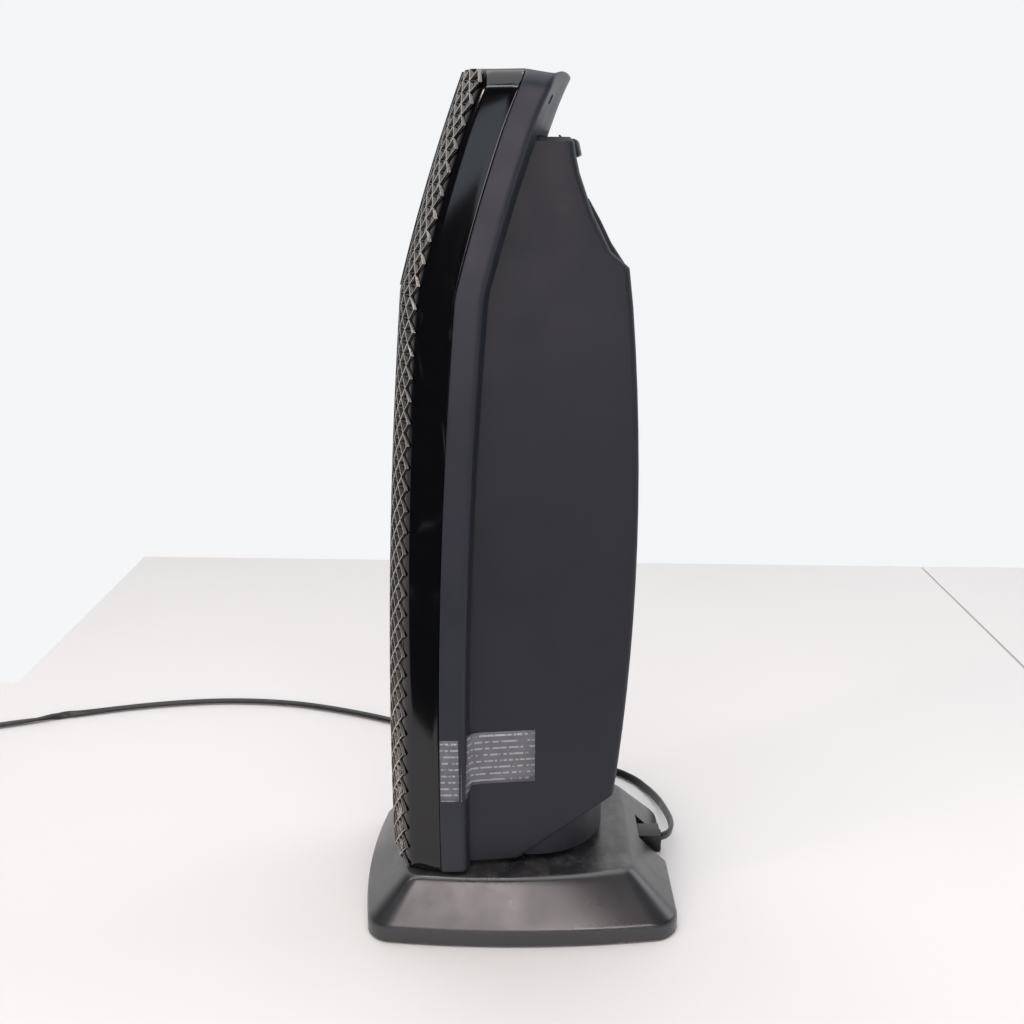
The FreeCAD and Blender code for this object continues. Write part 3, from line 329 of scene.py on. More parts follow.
class Material(Nodes):
    """A material in the object's own coordinates."""

    def __init__(self, name, color, roughness, metallic=0.0, specular=0.5):
        self.material = bpy.data.materials.new(name)
        self.material.use_nodes = True
        super().__init__(self.material.node_tree)
        self.shader = self.tree.nodes["Principled BSDF"]
        self.place = self.node("ShaderNodeTexCoord").outputs["Object"]
        self.shade("Base Color", color)
        self.shade("Roughness", roughness)
        self.shade("Metallic", metallic)
        self.shade("Specular IOR Level", specular)

    def shade(self, socket, value):
        """Feeds one of the shader's own sockets."""
        self.feed(self.shader.inputs[socket], value)

    def texture(self, kind, scale, stretch=(1, 1, 1), **inputs):
        """A texture with about scale features to the metre."""
        mapping = self.node("ShaderNodeMapping", {"Scale": stretch, "Vector": self.place})
        return self.node(kind, {"Scale": scale, "Vector": mapping.outputs["Vector"], **inputs})

    def noise(self, scale, detail=4, roughness=0.55, stretch=(1, 1, 1)):
        made = self.texture("ShaderNodeTexNoise", scale, stretch, Detail=detail, Roughness=roughness)
        return made.outputs["Fac"]

    def ramp(self, value, *stops):
        """A colour or grey ramp: stops are (position, grey or colour)."""
        ramp = self.node("ShaderNodeValToRGB", {"Fac": value})
        points = ramp.color_ramp.elements
        while len(points) < len(stops):
            points.new(0.5)
        for point, (position, tone) in zip(points, stops):
            point.position = position
            color = tone if isinstance(tone, tuple) else (tone,) * 3
            point.color = (*color, 1)
        return ramp.outputs["Color"]

    def math(self, operation, a, b=0.0):
        return self.node("ShaderNodeMath", {0: a, 1: b}, operation=operation).outputs["Value"]

    def product(self, a, b):
        return self.math("MULTIPLY", a, b)

    def mix(self, factor, a, b):
        """From colour a to colour b; sockets 6 and 7 are the node's two colours."""
        return self.node("ShaderNodeMix", {"Factor": factor, 6: a, 7: b}, data_type="RGBA").outputs[2]

    def bump(self, value, distance, strength):
        """Adds relief; distance is its height in metres."""
        made = self.node("ShaderNodeBump", {"Strength": strength, "Distance": distance, "Height": value})
        self.shade("Normal", made.outputs["Normal"])


DUST_SPECK = (0.32, 0.31, 0.3)
DUST_FILM = (0.23, 0.21, 0.2)


def dusty_plastic(name, color, light, roughness, specular, dust, grain=2600, settled=None):
    """Moulded plastic with a fine spark-eroded grain, cloudy handling marks, and specks of dust.

    settled is the pair of heights between which dust that lies on level surfaces fades out.
    """
    made = Material(name, color, roughness, specular=specular)
    tone = made.ramp(made.noise(12, 3, 0.5), (0.3, color), (0.75, light))
    cells = made.texture("ShaderNodeTexVoronoi", 46).outputs["Distance"]
    speck = made.ramp(cells, (0.012, 1.0), (0.03, 0.0))
    patch = made.ramp(made.noise(22, 3), (0.55, 0.0), (0.75, 1.0))
    speckled = made.product(made.product(speck, patch), dust)
    color_out = made.mix(speckled, tone, DUST_SPECK)
    if settled:
        fade = made.map_range(made.split(made.place, "Z"), settled, (0.8, 0.0))
        streaks = made.ramp(made.noise(34, 9, 0.75), (0.42, 0.0), (0.7, 0.6))
        facing = made.split(made.node("ShaderNodeTexCoord").outputs["Normal"], "Z")
        film = made.product(made.product(fade, streaks), made.ramp(facing, (0.85, 0.0), (0.97, 1.0)))
        color_out = made.mix(film, color_out, DUST_FILM)
    made.shade("Base Color", color_out)
    rough = made.ramp(made.noise(30, 5), (0.3, roughness - 0.05), (0.7, roughness + 0.08))
    made.shade("Roughness", rough)
    made.bump(made.noise(grain, 2, 0.5), 0.00006, 0.6)
    return made.material


def gloss_black(name):
    """Polished black plastic with a few smudges and hairline scratches."""
    black, polish = (0.002, 0.002, 0.0027), 0.1
    made = Material(name, black, polish)
    smear = made.ramp(made.noise(45, 6, 0.6, (1, 1, 0.5)), (0.52, 0.0), (0.68, 1.0))
    patch = made.ramp(made.noise(13, 1), (0.6, 0.0), (0.68, 1.0))
    haze = made.product(smear, patch)
    hairs = made.noise(9, 2, 0.5, (1, 1, 0.3))
    line = made.ramp(hairs, (0.496, 0.0), (0.4985, 1.0), (0.5015, 1.0), (0.504, 0.0))
    marks = made.product(line, made.ramp(made.noise(17, 2), (0.52, 0.0), (0.62, 1.0)))
    color = made.mix(made.product(haze, 0.8), black, (0.03, 0.037, 0.046))
    made.shade("Base Color", made.mix(made.product(marks, 0.22), color, (0.1, 0.11, 0.12)))
    made.shade("Roughness", made.math("ADD", made.product(haze, 0.22), polish))
    made.bump(made.noise(5, 2), 0.0006, 0.12)
    return made.material


def metallic_coat(name, dark, light, metallic, roughness):
    """Gunmetal coat on the lattice: fine flake and warm variation. Its much lighter second copy on the rib
    tops is a painted highlight.
    """
    made = Material(name, light, roughness, metallic=metallic)
    tone = made.ramp(made.noise(60, 4), (0.3, dark), (0.7, light))
    made.shade("Base Color", tone)
    rough = made.ramp(made.noise(180, 4), (0.35, roughness - 0.05), (0.7, roughness + 0.1))
    made.shade("Roughness", rough)
    made.bump(made.noise(3000, 2), 0.00003, 0.5)
    return made.material


def plain(name, color, roughness, grain=500, depth=0.00005, variation=0.25):
    """Simple moulded or machined surface: slight tone and roughness variation and a fine grain."""
    made = Material(name, color, roughness)
    dark = tuple(c * (1 - variation) for c in color)
    bright = tuple(min(1, c * (1 + variation)) for c in color)
    made.shade("Base Color", made.ramp(made.noise(25, 5), (0.3, dark), (0.7, bright)))
    rough = made.ramp(made.noise(60, 4), (0.3, max(0.03, roughness - 0.06)), (0.7, min(1, roughness + 0.08)))
    made.shade("Roughness", rough)
    made.bump(made.noise(grain, 3), depth, 0.6)
    return made.material


def brushed(name, color, roughness=0.32):
    """Turned or rolled metal with drawn lines."""
    made = Material(name, color, roughness, metallic=1.0)
    lines = made.noise(90, 6, 0.7, (1, 1, 14))
    dark = tuple(c * 0.75 for c in color)
    made.shade("Base Color", made.ramp(lines, (0.3, dark), (0.7, color)))
    rough = made.ramp(lines, (0.3, roughness - 0.08), (0.7, roughness + 0.12))
    made.shade("Roughness", rough)
    made.bump(lines, 0.00003, 0.4)
    return made.material


def woven(name, color):
    """Filter mesh: crossed threads."""
    made = Material(name, color, 0.8)
    waves = []
    for axis in ("X", "Z"):
        wave = made.node("ShaderNodeTexWave", {"Scale": 260, "Vector": made.place}, bands_direction=axis)
        waves.append(wave.outputs["Fac"])
    threads = made.math("MAXIMUM", *waves)
    dark = tuple(c * 0.3 for c in color)
    made.shade("Base Color", made.ramp(threads, (0.4, dark), (0.9, color)))
    made.bump(threads, 0.0003, 0.8)
    return made.material


def label_material():
    """Clear film, faintly grey, with a few plain bars where print would be."""
    made = Material("label_film", (0.06, 0.062, 0.068), 0.36)
    cloud = made.ramp(made.noise(60, 5), (0.3, (0.1, 0.105, 0.12)), (0.75, (0.15, 0.156, 0.172)))
    row_pitch = 4.8 * MM
    row = made.math("FRACT", made.product(made.split(made.place, "Z"), 1 / row_pitch))
    bar = made.ramp(row, (0.34, 0.0), (0.4, 1.0), (0.6, 1.0), (0.66, 0.0))
    breaks = made.ramp(made.noise(420, 1, 0.4, (1, 1, 0.3)), (0.42, 0.0), (0.5, 1.0))
    printed = made.product(made.product(bar, breaks), 0.5)
    made.shade("Base Color", made.mix(printed, cloud, (0.55, 0.56, 0.58)))
    made.bump(made.noise(300, 2), 0.00005, 0.4)
    return made.material


CASE = dusty_plastic("case_plastic", (0.0138, 0.0158, 0.0222), (0.0168, 0.0192, 0.0264), 0.5, 0.36, 0.5)
FRAME = dusty_plastic("frame_plastic", (0.0195, 0.0225, 0.033), (0.023, 0.0265, 0.038), 0.42, 0.32, 0.3)
BASE = dusty_plastic("base_plastic", (0.015, 0.0145, 0.018), (0.019, 0.0185, 0.022), 0.29, 0.85, 0.5,
                     grain=1500, settled=(0.04, 0.06))
GLOSS = gloss_black("gloss_black")
COAT = metallic_coat("grille_coat", (0.034, 0.031, 0.03), (0.06, 0.055, 0.052), 0.6, 0.24)
# the rib tops get a far lighter copy of the grille's one coat: a painted highlight for the light that the
# narrow ribs catch from the bright room
RIB_HIGHLIGHT = metallic_coat("grille_rib_highlight", (0.33, 0.305, 0.292), (0.42, 0.39, 0.375), 0.35, 0.3)
CORD_PVC = plain("cord_pvc", (0.008, 0.008, 0.009), 0.34, grain=900)
GREY = plain("grey_plastic", (0.05, 0.05, 0.053), 0.5)
FILM = label_material()

FINISHES = {
    "satin_base_plastic": BASE,
    "matte_case_plastic": CASE,
    "frame_plastic": FRAME,
    "gloss_black": GLOSS,
    "grille_metallic": COAT,
    "window_smoke": GLOSS,
    "label_film": FILM,
    "cord_pvc": CORD_PVC,
    "grey_plastic": GREY,
    "black_rubber": plain("rubber", (0.012, 0.012, 0.012), 0.7),
    "steel": brushed("steel", (0.55, 0.55, 0.56)),
    "motor_steel": brushed("motor_can", (0.4, 0.4, 0.41), 0.4),
    "aluminium": brushed("aluminium", (0.7, 0.71, 0.72), 0.3),
    "brass": brushed("brass", (0.72, 0.56, 0.26), 0.28),
    "white_nylon": plain("nylon", (0.68, 0.67, 0.62), 0.45, grain=400, variation=0.06),
    "ceramic": plain("ceramic", (0.32, 0.3, 0.27), 0.75, grain=900, depth=0.0001, variation=0.15),
    "circuit_green": plain("circuit_board", (0.015, 0.1, 0.04), 0.35, variation=0.15),
    "filter_mesh": woven("filter", (0.05, 0.05, 0.05)),
}
SLOT_OF = {row["node"]: row["material_slot"] for row in frame["record"]["subparts"]}
for node_name, node in NODES.items():
    for material_slot in node.material_slots:
        material_slot.material = FINISHES[SLOT_OF[node_name]]


def finish_with(piece, material):
    """Gives a piece its material."""
    piece.data.materials.clear()
    piece.data.materials.append(material)


def stand_for(piece, material, *nodes):
    """Gives a piece its material and hides the CAD nodes that it stands for."""
    finish_with(piece, material)
    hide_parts(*nodes)


# ---- column casings


def heights(low, high, step, *exact):
    """Levels from low to high, evenly spaced, with a few exact ones among them."""
    count = max(2, round((high - low) / step))
    levels = {round(low + (high - low) * n / count, 6) for n in range(count + 1)}
    ends = (round(low, 6), round(high, 6))
    for level in exact:
        levels = {z for z in levels if abs(z - level) > step * 0.35 or z in ends}
        levels.add(round(level, 6))
    return sorted(levels)


def fillet_levels(top, height, inset):
    """(height, inset) pairs round a top edge, along a quarter of an ellipse."""
    steps = 9
    turns = [math.radians(90 * n / steps) for n in range(1, steps + 1)]
    return [(top - height + height * math.sin(t), inset * (1 - math.cos(t))) for t in turns]


def bulge_at(x, half, depth):
    """How far an arc of the given half chord and height stands out at x."""
    radius = (half * half + depth * depth) / (2 * depth)
    return math.sqrt(radius * radius - x * x) - (radius - depth)


def case_levels(exact, fillet, inset):
    """(height, inset) levels of the front section, with a rounded foot and a large rounding at the top."""
    foot = [(SECTION_BOTTOM, 1.2 * MM), (SECTION_BOTTOM + 0.5 * MM, 0.35 * MM)]
    kink = (KINK - 2.5 * MM, KINK + 2.5 * MM)
    body = heights(SECTION_BOTTOM + 1.3 * MM, TOP - fillet, 9 * MM, *kink, *exact)
    return foot + [(z, 0.0) for z in body] + fillet_levels(TOP, fillet, inset)


def mirrored(side, shrink):
    """A whole section from its one side, which runs from the rear edge to the middle."""
    full = [(-x, y) for x, y in side] + [(x, y) for x, y in reversed(side) if x > 0.1 * MM]
    return [(x * shrink, y) for x, y in full]


def loft_case(section, levels, keep):
    """Lofts an open section over the levels, leaves out the faces that keep() refuses, and closes the top.

    section(z, inset) gives (x, y) points; keep(x, y, z) is asked at each face's middle.
    """
    rings = [[crowned((x, y, z)) for x, y in section(z, inset)] for z, inset in levels]
    length = len(rings[0])
    points = [point for ring in rings for point in ring]
    faces = []
    for face in rings_to_faces(len(levels), length, closed=False):
        middle = sum((Vector(points[index]) for index in face), Vector()) / 4
        if keep(*middle):
            faces.append(face)
    return points, faces + lid_faces(len(points) - length, length)


def make_bezel():
    """Glossy front shell: closes in to the front, wraps onto the grille's edge, and is open for the air."""
    half, corner, raised = BEZEL_FRONT_HALF, 7 * MM, 3.2 * MM
    outlet, outlet_low, outlet_high = 55 * MM, 62 * MM, 456 * MM
    flank = 0.72

    def section(z, inset):
        rear, front = line_at(z) - FRAME_DEPTH, line_at(z) - BEZEL_DEPTH - raised
        side = [(BEZEL_REAR_HALF, rear), (BEZEL_REAR_HALF - 0.25 * MM, rear - 1.0 * MM)]
        start = Vector((BEZEL_REAR_HALF - 0.7 * MM, rear - 2.0 * MM))
        apex = Vector((half + 1.4 * MM, front))
        swell = Vector((0.4 * MM, -0.15 * MM))
        after = Vector((half - corner, front - bulge_at(half - corner, half, BEZEL_BULGE)))
        for t in (0.0, 0.12, 0.24, 0.36, 0.54, flank):
            side.append(tuple(start.lerp(apex, t) + swell * 4 * t * (flank - t)))
        side += eased(start.lerp(apex, flank), apex, after, 8)
        xs = {after.x - 0.1 * MM, outlet, outlet - 1 * MM, *(46 * MM - n * 4 * MM for n in range(12))}
        for x in sorted(xs, reverse=True):
            if x < after.x:
                side.append((x, front - bulge_at(x, half, BEZEL_BULGE)))
        return mirrored(side, (half - inset) / half)

    def keep(x, y, z):
        return not (abs(x) < outlet and outlet_low < z < outlet_high and y < line_at(z) - BEZEL_DEPTH)

    points, faces = loft_case(section, case_levels((outlet_low, outlet_high), 14 * MM, 8 * MM), keep)
    piece = mesh_from("gloss_bezel", points, faces, "column", 50)
    stand_for(solidify(piece, 2 * MM), GLOSS, "front_bezel")


def make_frame():
    """Matte frame: straight sides with a rounded rear lip, a window for the housing, closed above it."""
    half = FRAME_HALF
    window_top = CAP + 0.8 * MM
    lip = 4 * MM

    def window_at(z):
        return housing_half(line_at(min(z, window_top))) + 0.9 * MM

    def section(z, inset):
        y, window = line_at(z), window_at(z)
        side = [(half - 0.5 * MM, y - FRAME_DEPTH + 0.3 * MM), (half - 0.1 * MM, y - FRAME_DEPTH + 0.6 * MM),
                (half, y - FRAME_DEPTH + 1.1 * MM), (half, y - FRAME_DEPTH * 0.6), (half, y - lip)]
        after = Vector((half - lip, y + bulge_at(half - lip, half, FRAME_BULGE)))
        side += eased(Vector((half, y - lip)), Vector((half, y + 0.6 * MM)), after, 7)
        xs = [window + 1.6 * MM, window, window - 1 * MM] + [52 * MM - n * 6.5 * MM for n in range(9)]
        side += [(x, y + bulge_at(x, half, FRAME_BULGE)) for x in xs if x < after.x]
        return mirrored(side, (half - inset) / half)

    def keep(x, y, z):
        return not (abs(x) < window_at(z) and z < window_top and y > line_at(z) - 1 * MM)

    points, faces = loft_case(section, case_levels((window_top,), 11 * MM, 7 * MM), keep)
    piece = solidify(mesh_from("matte_frame", points, faces, "column", 50), 2.2 * MM)
    for side in (-1, 1):
        cut(piece, drill((side * 57 * MM, 30 * MM, 561 * MM), 2.9 * MM, 50 * MM))
    low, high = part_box("control_panel")
    cut(piece, box_tool((low.x, low.y, TOP - 8 * MM), (high.x, high.y, TOP + 8 * MM)))
    shade(piece.data, 50)
    stand_for(piece, FRAME, "rear_frame")


def smooth_profile(corners, steps):
    """An open line of (y, z) through corners (y, z, radius), with arcs at the inner ones."""
    made = [corners[0][:2]]
    for before, here, after in zip(corners, corners[1:], corners[2:]):
        point = Vector(here[:2])
        back = (Vector(before[:2]) - point).normalized()
        ahead = (Vector(after[:2]) - point).normalized()
        half = back.angle(ahead) / 2
        setback = here[2] / math.tan(half)
        start, end = point + back * setback, point + ahead * setback
        made += [tuple(start)] + eased(start, point, end, steps)
    made.append(corners[-1][:2])
    return made


def housing_half(y):
    """Half width of the housing's plan: it closes in to the back."""
    return (62 - (y / MM + 48) * 15 / 127) * MM


# the rear housing in side view: its heel and shoulder as (y, z, rounding), all in millimetres
HEEL_Y, HEEL_Z = 67, 94
BARREL_TOP = 463.5
SHOULDER = [(69, 461.5, 3), (57, 471.5, 9), (45, 495, 20), (36.5, 519, 8), (34.2, 529, 3)]
TOP_ROUNDING = 3 * MM
SLOTS, SLOT_PITCH, SLOT_HEIGHT, SLOT_HALF = 19, 12 * MM, 5 * MM, 34 * MM
LOWEST_SLOT = 150 * MM


def housing_profile():
    """The housing's back as a line of (y, z), from under the heel to the top's front edge."""
    steps = 14
    corners = [(0 * MM, HOUSING_BOTTOM, 0), (2 * MM, HOUSING_BOTTOM, 0.5 * MM),
               (HEEL_Y * MM, HEEL_Z * MM, 4 * MM)]
    for n in range(1, steps):
        t = n / steps
        y = HEEL_Y * MM + 2.3 * MM * t + 11 * MM * (1 - (2 * t - 1) ** 2)
        z = HEEL_Z * MM + (BARREL_TOP - HEEL_Z) * MM * t
        corners.append((y, z, 0.4 * MM))
    corners += [(y * MM, z * MM, radius * MM) for y, z, radius in SHOULDER]
    corners += [(33 * MM, CAP - TOP_ROUNDING, 1.5 * MM), (30.5 * MM, CAP, 0)]
    return smooth_profile(corners, 5)


def housing_ring(y_rear, z):
    """The housing's plan at a height: open to the front, with rounded rear corners."""
    rise = max(0.0, z - (CAP - TOP_ROUNDING)) / TOP_ROUNDING
    inset = TOP_ROUNDING * (1 - math.sqrt(max(0.0, 1 - rise * rise)))
    y_front = line_at(z) - 5 * MM
    radius = min(5 * MM, max(0.5 * MM, (y_rear - y_front) * 0.3))
    side_rear = y_rear - radius
    side = []
    for n in range(5):
        y = y_front + (side_rear - y_front) * n / 4
        side.append((housing_half(y) - inset, y))
    start = Vector((housing_half(side_rear) - inset, side_rear))
    apex = Vector((housing_half(y_rear) - inset, y_rear))
    end = Vector((apex.x - radius, y_rear))
    side += eased(start, apex, end, 6)
    side += [(end.x * (1 - n / 7), y_rear) for n in range(1, 7)]
    full = [(-x, y) for x, y in side] + [(0.0, y_rear)] + [(x, y) for x, y in reversed(side)]
    return [(x, y, z) for x, y in full]


def make_housing():
    """Matte rear shell: barrel back, hollow shoulder, rounded heel, inlet slots, an opening for the neck."""
    rings = [housing_ring(y, z) for y, z in housing_profile()]
    length = len(rings[0])
    points = [point for ring in rings for point in ring]
    faces = rings_to_faces(len(rings), length, closed=False)
    faces += lid_faces(0, length) + lid_faces(len(points) - length, length)
    piece = solidify(mesh_from("rear_shell", points, faces, "column", 40), 2.4 * MM)
    cut(piece, drill((0, 10 * MM, 66 * MM), 52.5 * MM, 56 * MM, "Z"))
    slots = None
    for number in range(SLOTS):
        z = LOWEST_SLOT + number * SLOT_PITCH
        slot = box_tool((-SLOT_HALF, 62 * MM, z), (SLOT_HALF, 95 * MM, z + SLOT_HEIGHT))
        bevel(slot, 1.6 * MM, 2)
        if slots:
            join_into(slots, slot)
        else:
            slots = slot
    cut(piece, slots)
    shade(piece.data, 40)
    stand_for(piece, CASE, "rear_housing")


def bowed_bar(name, outline, half, bow, rounding):
    """A bar across the back, in millimetres: a (y, z) outline swept across, bowed back, its ends rounded."""
    steps = 24
    middle_y = sum(y for y, _ in outline) / len(outline)
    middle_z = sum(z for _, z in outline) / len(outline)
    points = []
    for n in range(steps + 1):
        angle = math.pi * n / steps
        x = -half * math.cos(angle)
        over = max(0.0, abs(x) - (half - rounding)) / rounding
        size = 0.25 + 0.75 * math.sqrt(max(0.0, 1 - over * over))
        shift = -bow * (x / half) ** 2
        for y, z in outline:
            bar_y = middle_y + (y - middle_y) * size + shift
            bar_z = middle_z + (z - middle_z) * size
            points.append((x * MM, bar_y * MM, bar_z * MM))
    faces = rings_to_faces(steps + 1, len(outline)) + end_faces(steps + 1, len(outline))
    return mesh_from(name, points, faces, "column", 40)


def make_lip():
    """Hooked lip at the top of the housing's back, which fingers pull on."""
    top = CAP / MM
    outline = rounded([(28, top - 0.8, 1), (37.6, top - 0.8, 3.5), (39.9, top - 10.5, 1.4),
                       (37, top - 11.8, 1.1), (35.2, top - 6.5, 1.6), (28, top - 5.5, 1)], 5)
    finish_with(bowed_bar("rear_lip", outline, 44, 3.0, 2.5), CASE)


def make_pocket():
    """Raised plate that follows the shoulder and the upper back, with a slot along its top for the remote."""
    outer = [(44.2, 504, 1.5), (52.8, 489, 30), (59.6, 475.5, 30), (70.6, 459.5, 2.5), (74.2, 425, 120),
             (75.9, 396, 1.2)]
    inner = [(70, 396, 0.5), (66, 455, 3), (54, 471, 6), (38, 501, 0.5)]
    outline = rounded(outer + inner, 4)
    piece = bowed_bar("remote_holder", outline, 30, 1.2, 2.0)
    cut(piece, box_tool((-21 * MM, 43 * MM, 496 * MM), (21 * MM, 47.2 * MM, 510 * MM)))
    shade(piece.data, 40)
    stand_for(piece, CASE, "remote_pocket")


# ---- grille

PITCH_X = 8.0 * MM
SIDE_COLUMN = 8
ROWS_BELOW, ROWS_ABOVE = 55, 20
GRILLE_RADIUS = (BEZEL_FRONT_HALF**2 + BEZEL_BULGE**2) / (2 * BEZEL_BULGE)
GRILLE_DEPTH = 4.5 * MM
BAR_DEPTH = GRILLE_DEPTH * 0.6
THROAT_DEPTH = GRILLE_DEPTH * 0.42
RIB_INSET, BAR_INSET, THROAT_INSET = 0.87, 0.86, 0.42


def front_point(across, z, lift):
    """A point over the bezel's bulging front, lifted along the surface's normal."""
    turn = across / GRILLE_RADIUS
    x = math.sin(turn) * (GRILLE_RADIUS + lift)
    forward = math.cos(turn) * (GRILLE_RADIUS + lift) - (GRILLE_RADIUS - BEZEL_BULGE)
    return Vector(crowned((x, line_at(z) - BEZEL_DEPTH - forward, z)))


def grille_point(column, row, lift):
    """A point over the front by lattice column and row."""
    if row <= ROWS_BELOW:
        z = SECTION_BOTTOM + (KINK - SECTION_BOTTOM) * row / ROWS_BELOW
    else:
        z = KINK + (TOP - KINK) * (row - ROWS_BELOW) / ROWS_ABOVE
    return front_point(column * PITCH_X, z, lift)


def funnel(lone, left, right):
    """One half of a diamond, from its corners as (column, row); a sunk bar joins the left and the right one.

    Gives its faces as lists of corners: two ribs and the two funnel sides under them first, in turn.
    """
    outer = [lone, left, right]
    centre = (sum(c for c, _ in outer) / 3, sum(r for _, r in outer) / 3)
    halfway = ((left[0] + right[0]) / 2, left[1])

    def at(corner, size, lift):
        c = centre[0] + (corner[0] - centre[0]) * size
        r = centre[1] + (corner[1] - centre[1]) * size
        return grille_point(c, r, lift)

    ridge = [grille_point(*corner, GRILLE_DEPTH) for corner in outer]
    sunk = grille_point(*halfway, BAR_DEPTH)
    top = [at(corner, RIB_INSET, GRILLE_DEPTH) for corner in outer]
    bar = at(halfway, BAR_INSET, BAR_DEPTH)
    throat = [at(corner, THROAT_INSET, THROAT_DEPTH) for corner in outer]
    made = []
    for a, b in ((0, 1), (2, 0)):
        made.append((ridge[a], ridge[b], top[b], top[a]))
        made.append((top[a], top[b], throat[b], throat[a]))
    made += [(ridge[1], sunk, bar, top[1]), (sunk, ridge[2], top[2], bar), (top[1], bar, throat[1]),
             (bar, top[2], throat[2]), (bar, throat[2], throat[1])]
    return made


def edge_wall(row, side):
    """A face that closes the lattice's zigzag edge down to the bezel."""
    lower, upper = (SIDE_COLUMN, SIDE_COLUMN - 1) if row % 2 == 0 else (SIDE_COLUMN - 1, SIDE_COLUMN)
    start, end = (side * lower, row), (side * upper, row + 1)
    spread, wall_foot = side * 0.08, 2.6 * MM
    return (grille_point(*start, GRILLE_DEPTH), grille_point(*end, GRILLE_DEPTH),
            grille_point(end[0] + spread, end[1], wall_foot),
            grille_point(start[0] + spread, start[1], wall_foot))


def make_grille():
    """Diamond lattice: narrow ribs, each diamond split by a sunk bar into two funnels with open throats."""
    corners, rib_faces = [], set()
    for row in range(ROWS_BELOW + ROWS_ABOVE):
        for column in range(-SIDE_COLUMN, SIDE_COLUMN - 1):
            # the middle of the upper part is left to the display strip
            if column == -1 and row > ROWS_BELOW:
                continue
            far = column + 2
            rib_faces.update((len(corners), len(corners) + 2))
            if (column % 2 == 0) == (row % 2 == 0):
                corners += funnel((column + 1, row + 1), (column, row), (far, row))
            else:
                corners += funnel((column + 1, row), (column, row + 1), (far, row + 1))
        corners += [edge_wall(row, side) for side in (-1, 1)]
    points, faces = [], []
    for face in corners:
        faces.append(tuple(range(len(points), len(points) + len(face))))
        points += [tuple(corner) for corner in face]
    piece_mesh = bpy.data.meshes.new("lattice_grille")
    piece_mesh.from_pydata(points, [], faces)
    piece_mesh.materials.append(COAT)
    piece_mesh.materials.append(RIB_HIGHLIGHT)
    # rib faces take the lighter copy of the coat, a painted highlight; the funnel faces keep the coat
    for face in piece_mesh.polygons:
        face.material_index = 1 if face.index in rib_faces else 0
    made = bmesh.new()
    made.from_mesh(piece_mesh)
    bmesh.ops.remove_doubles(made, verts=made.verts, dist=2e-5)
    bmesh.ops.recalc_face_normals(made, faces=made.faces)
    outward = sum(face.normal.y * face.calc_area() for face in made.faces)
    if outward > 0:
        bmesh.ops.reverse_faces(made, faces=made.faces)
    made.to_mesh(piece_mesh)
    made.free()
    piece = solidify(new_object("lattice_grille", piece_mesh, "column"), 0.7 * MM, even=False)
    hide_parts("front_grille")


def make_window_strip():
    """Glossy strip over the middle of the grille's upper part, slightly proud, with rounded long edges."""
    low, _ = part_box("display_window")
    half, lift = 9 * MM, 5.4 * MM
    profile = [(-half, 0.5 * MM), (-half, lift - 1 * MM), (-half + 0.3 * MM, lift - 0.3 * MM),
               (-half + 1 * MM, lift)]
    profile += [(x * MM, lift) for x in (-5, -2.5, 0)]
    profile += [(-x, up) for x, up in reversed(profile[:-1])]
    levels = heights(low.z, TOP, 6 * MM)
    points = [front_point(x, z, up) for z in levels for x, up in profile]
    faces = rings_to_faces(len(levels), len(profile)) + end_faces(len(levels), len(profile))
    piece = mesh_from("display_strip", points, faces, "column", 40)
    stand_for(piece, GLOSS, "display_window")


def deck_height(y):
    """The level of the column's top, which is straight from side to side."""
    return crowned((FRAME_HALF - 7 * MM, y, TOP))[2]


def make_panel():
    """Control panel let into the frame's top, flush with it, with a round hole for each button."""
    low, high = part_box("control_panel")
    steps_x, steps_y = 2, 4
    points = []
    for row in range(steps_y + 1):
        for step in range(steps_x + 1):
            x = low.x + (high.x - low.x) * step / steps_x
            y = low.y + (high.y - low.y) * row / steps_y
            points.append((x, y, deck_height(y)))
    faces = rings_to_faces(steps_y + 1, steps_x + 1, closed=False)
    piece = mesh_from("let_in_panel", points, faces, "column", 30)
    if piece.data.polygons[0].normal.z < 0:
        piece.data.flip_normals()
    solidify(piece, 2.2 * MM)
    for name in BUTTONS:
        button_low, button_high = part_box(name)
        middle = (button_low + button_high) / 2
        cut(piece, drill((middle.x, middle.y, TOP), 5.35 * MM, 20 * MM, "Z"))
    bevel(piece, 0.3 * MM, 2)
    shade(piece.data, 40)
    stand_for(piece, GLOSS, "control_panel")


def make_button(name):
    """Round push button: dished cap with a rolled edge, on a wider flange under the panel."""
    low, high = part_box(name)
    middle = (low + high) / 2
    flange, radius, edge = (high.x - low.x) / 2, 5 * MM, 0.8 * MM
    cap = deck_height(middle.y) + 0.6 * MM
    foot = low.z + 0.15 * MM
    profile = [(0, foot), (flange, foot), (flange, foot + 1.2 * MM), (radius, foot + 1.2 * MM)]
    for degrees in (0, 22.5, 45, 67.5, 90):
        angle = math.radians(degrees)
        profile.append((radius - edge + edge * math.cos(angle), cap - edge + edge * math.sin(angle)))
    profile += [(3.2 * MM, cap - 0.25 * MM), (1.6 * MM, cap - 0.45 * MM), (0, cap - 0.5 * MM)]
    around = 40
    points = []
    for r, z in profile:
        for step in range(around):
            angle = 2 * math.pi * step / around
            points.append((middle.x + r * math.cos(angle), middle.y + r * math.sin(angle), z))
    faces = rings_to_faces(len(profile), around)
    piece = mesh_from(name + "_cap", points, faces, name, 35)
    stand_for(piece, GREY, name)


make_bezel()
make_frame()
make_housing()
make_lip()
make_pocket()
make_grille()
make_window_strip()
make_panel()
for button_name in BUTTONS:
    make_button(button_name)


# ---- base

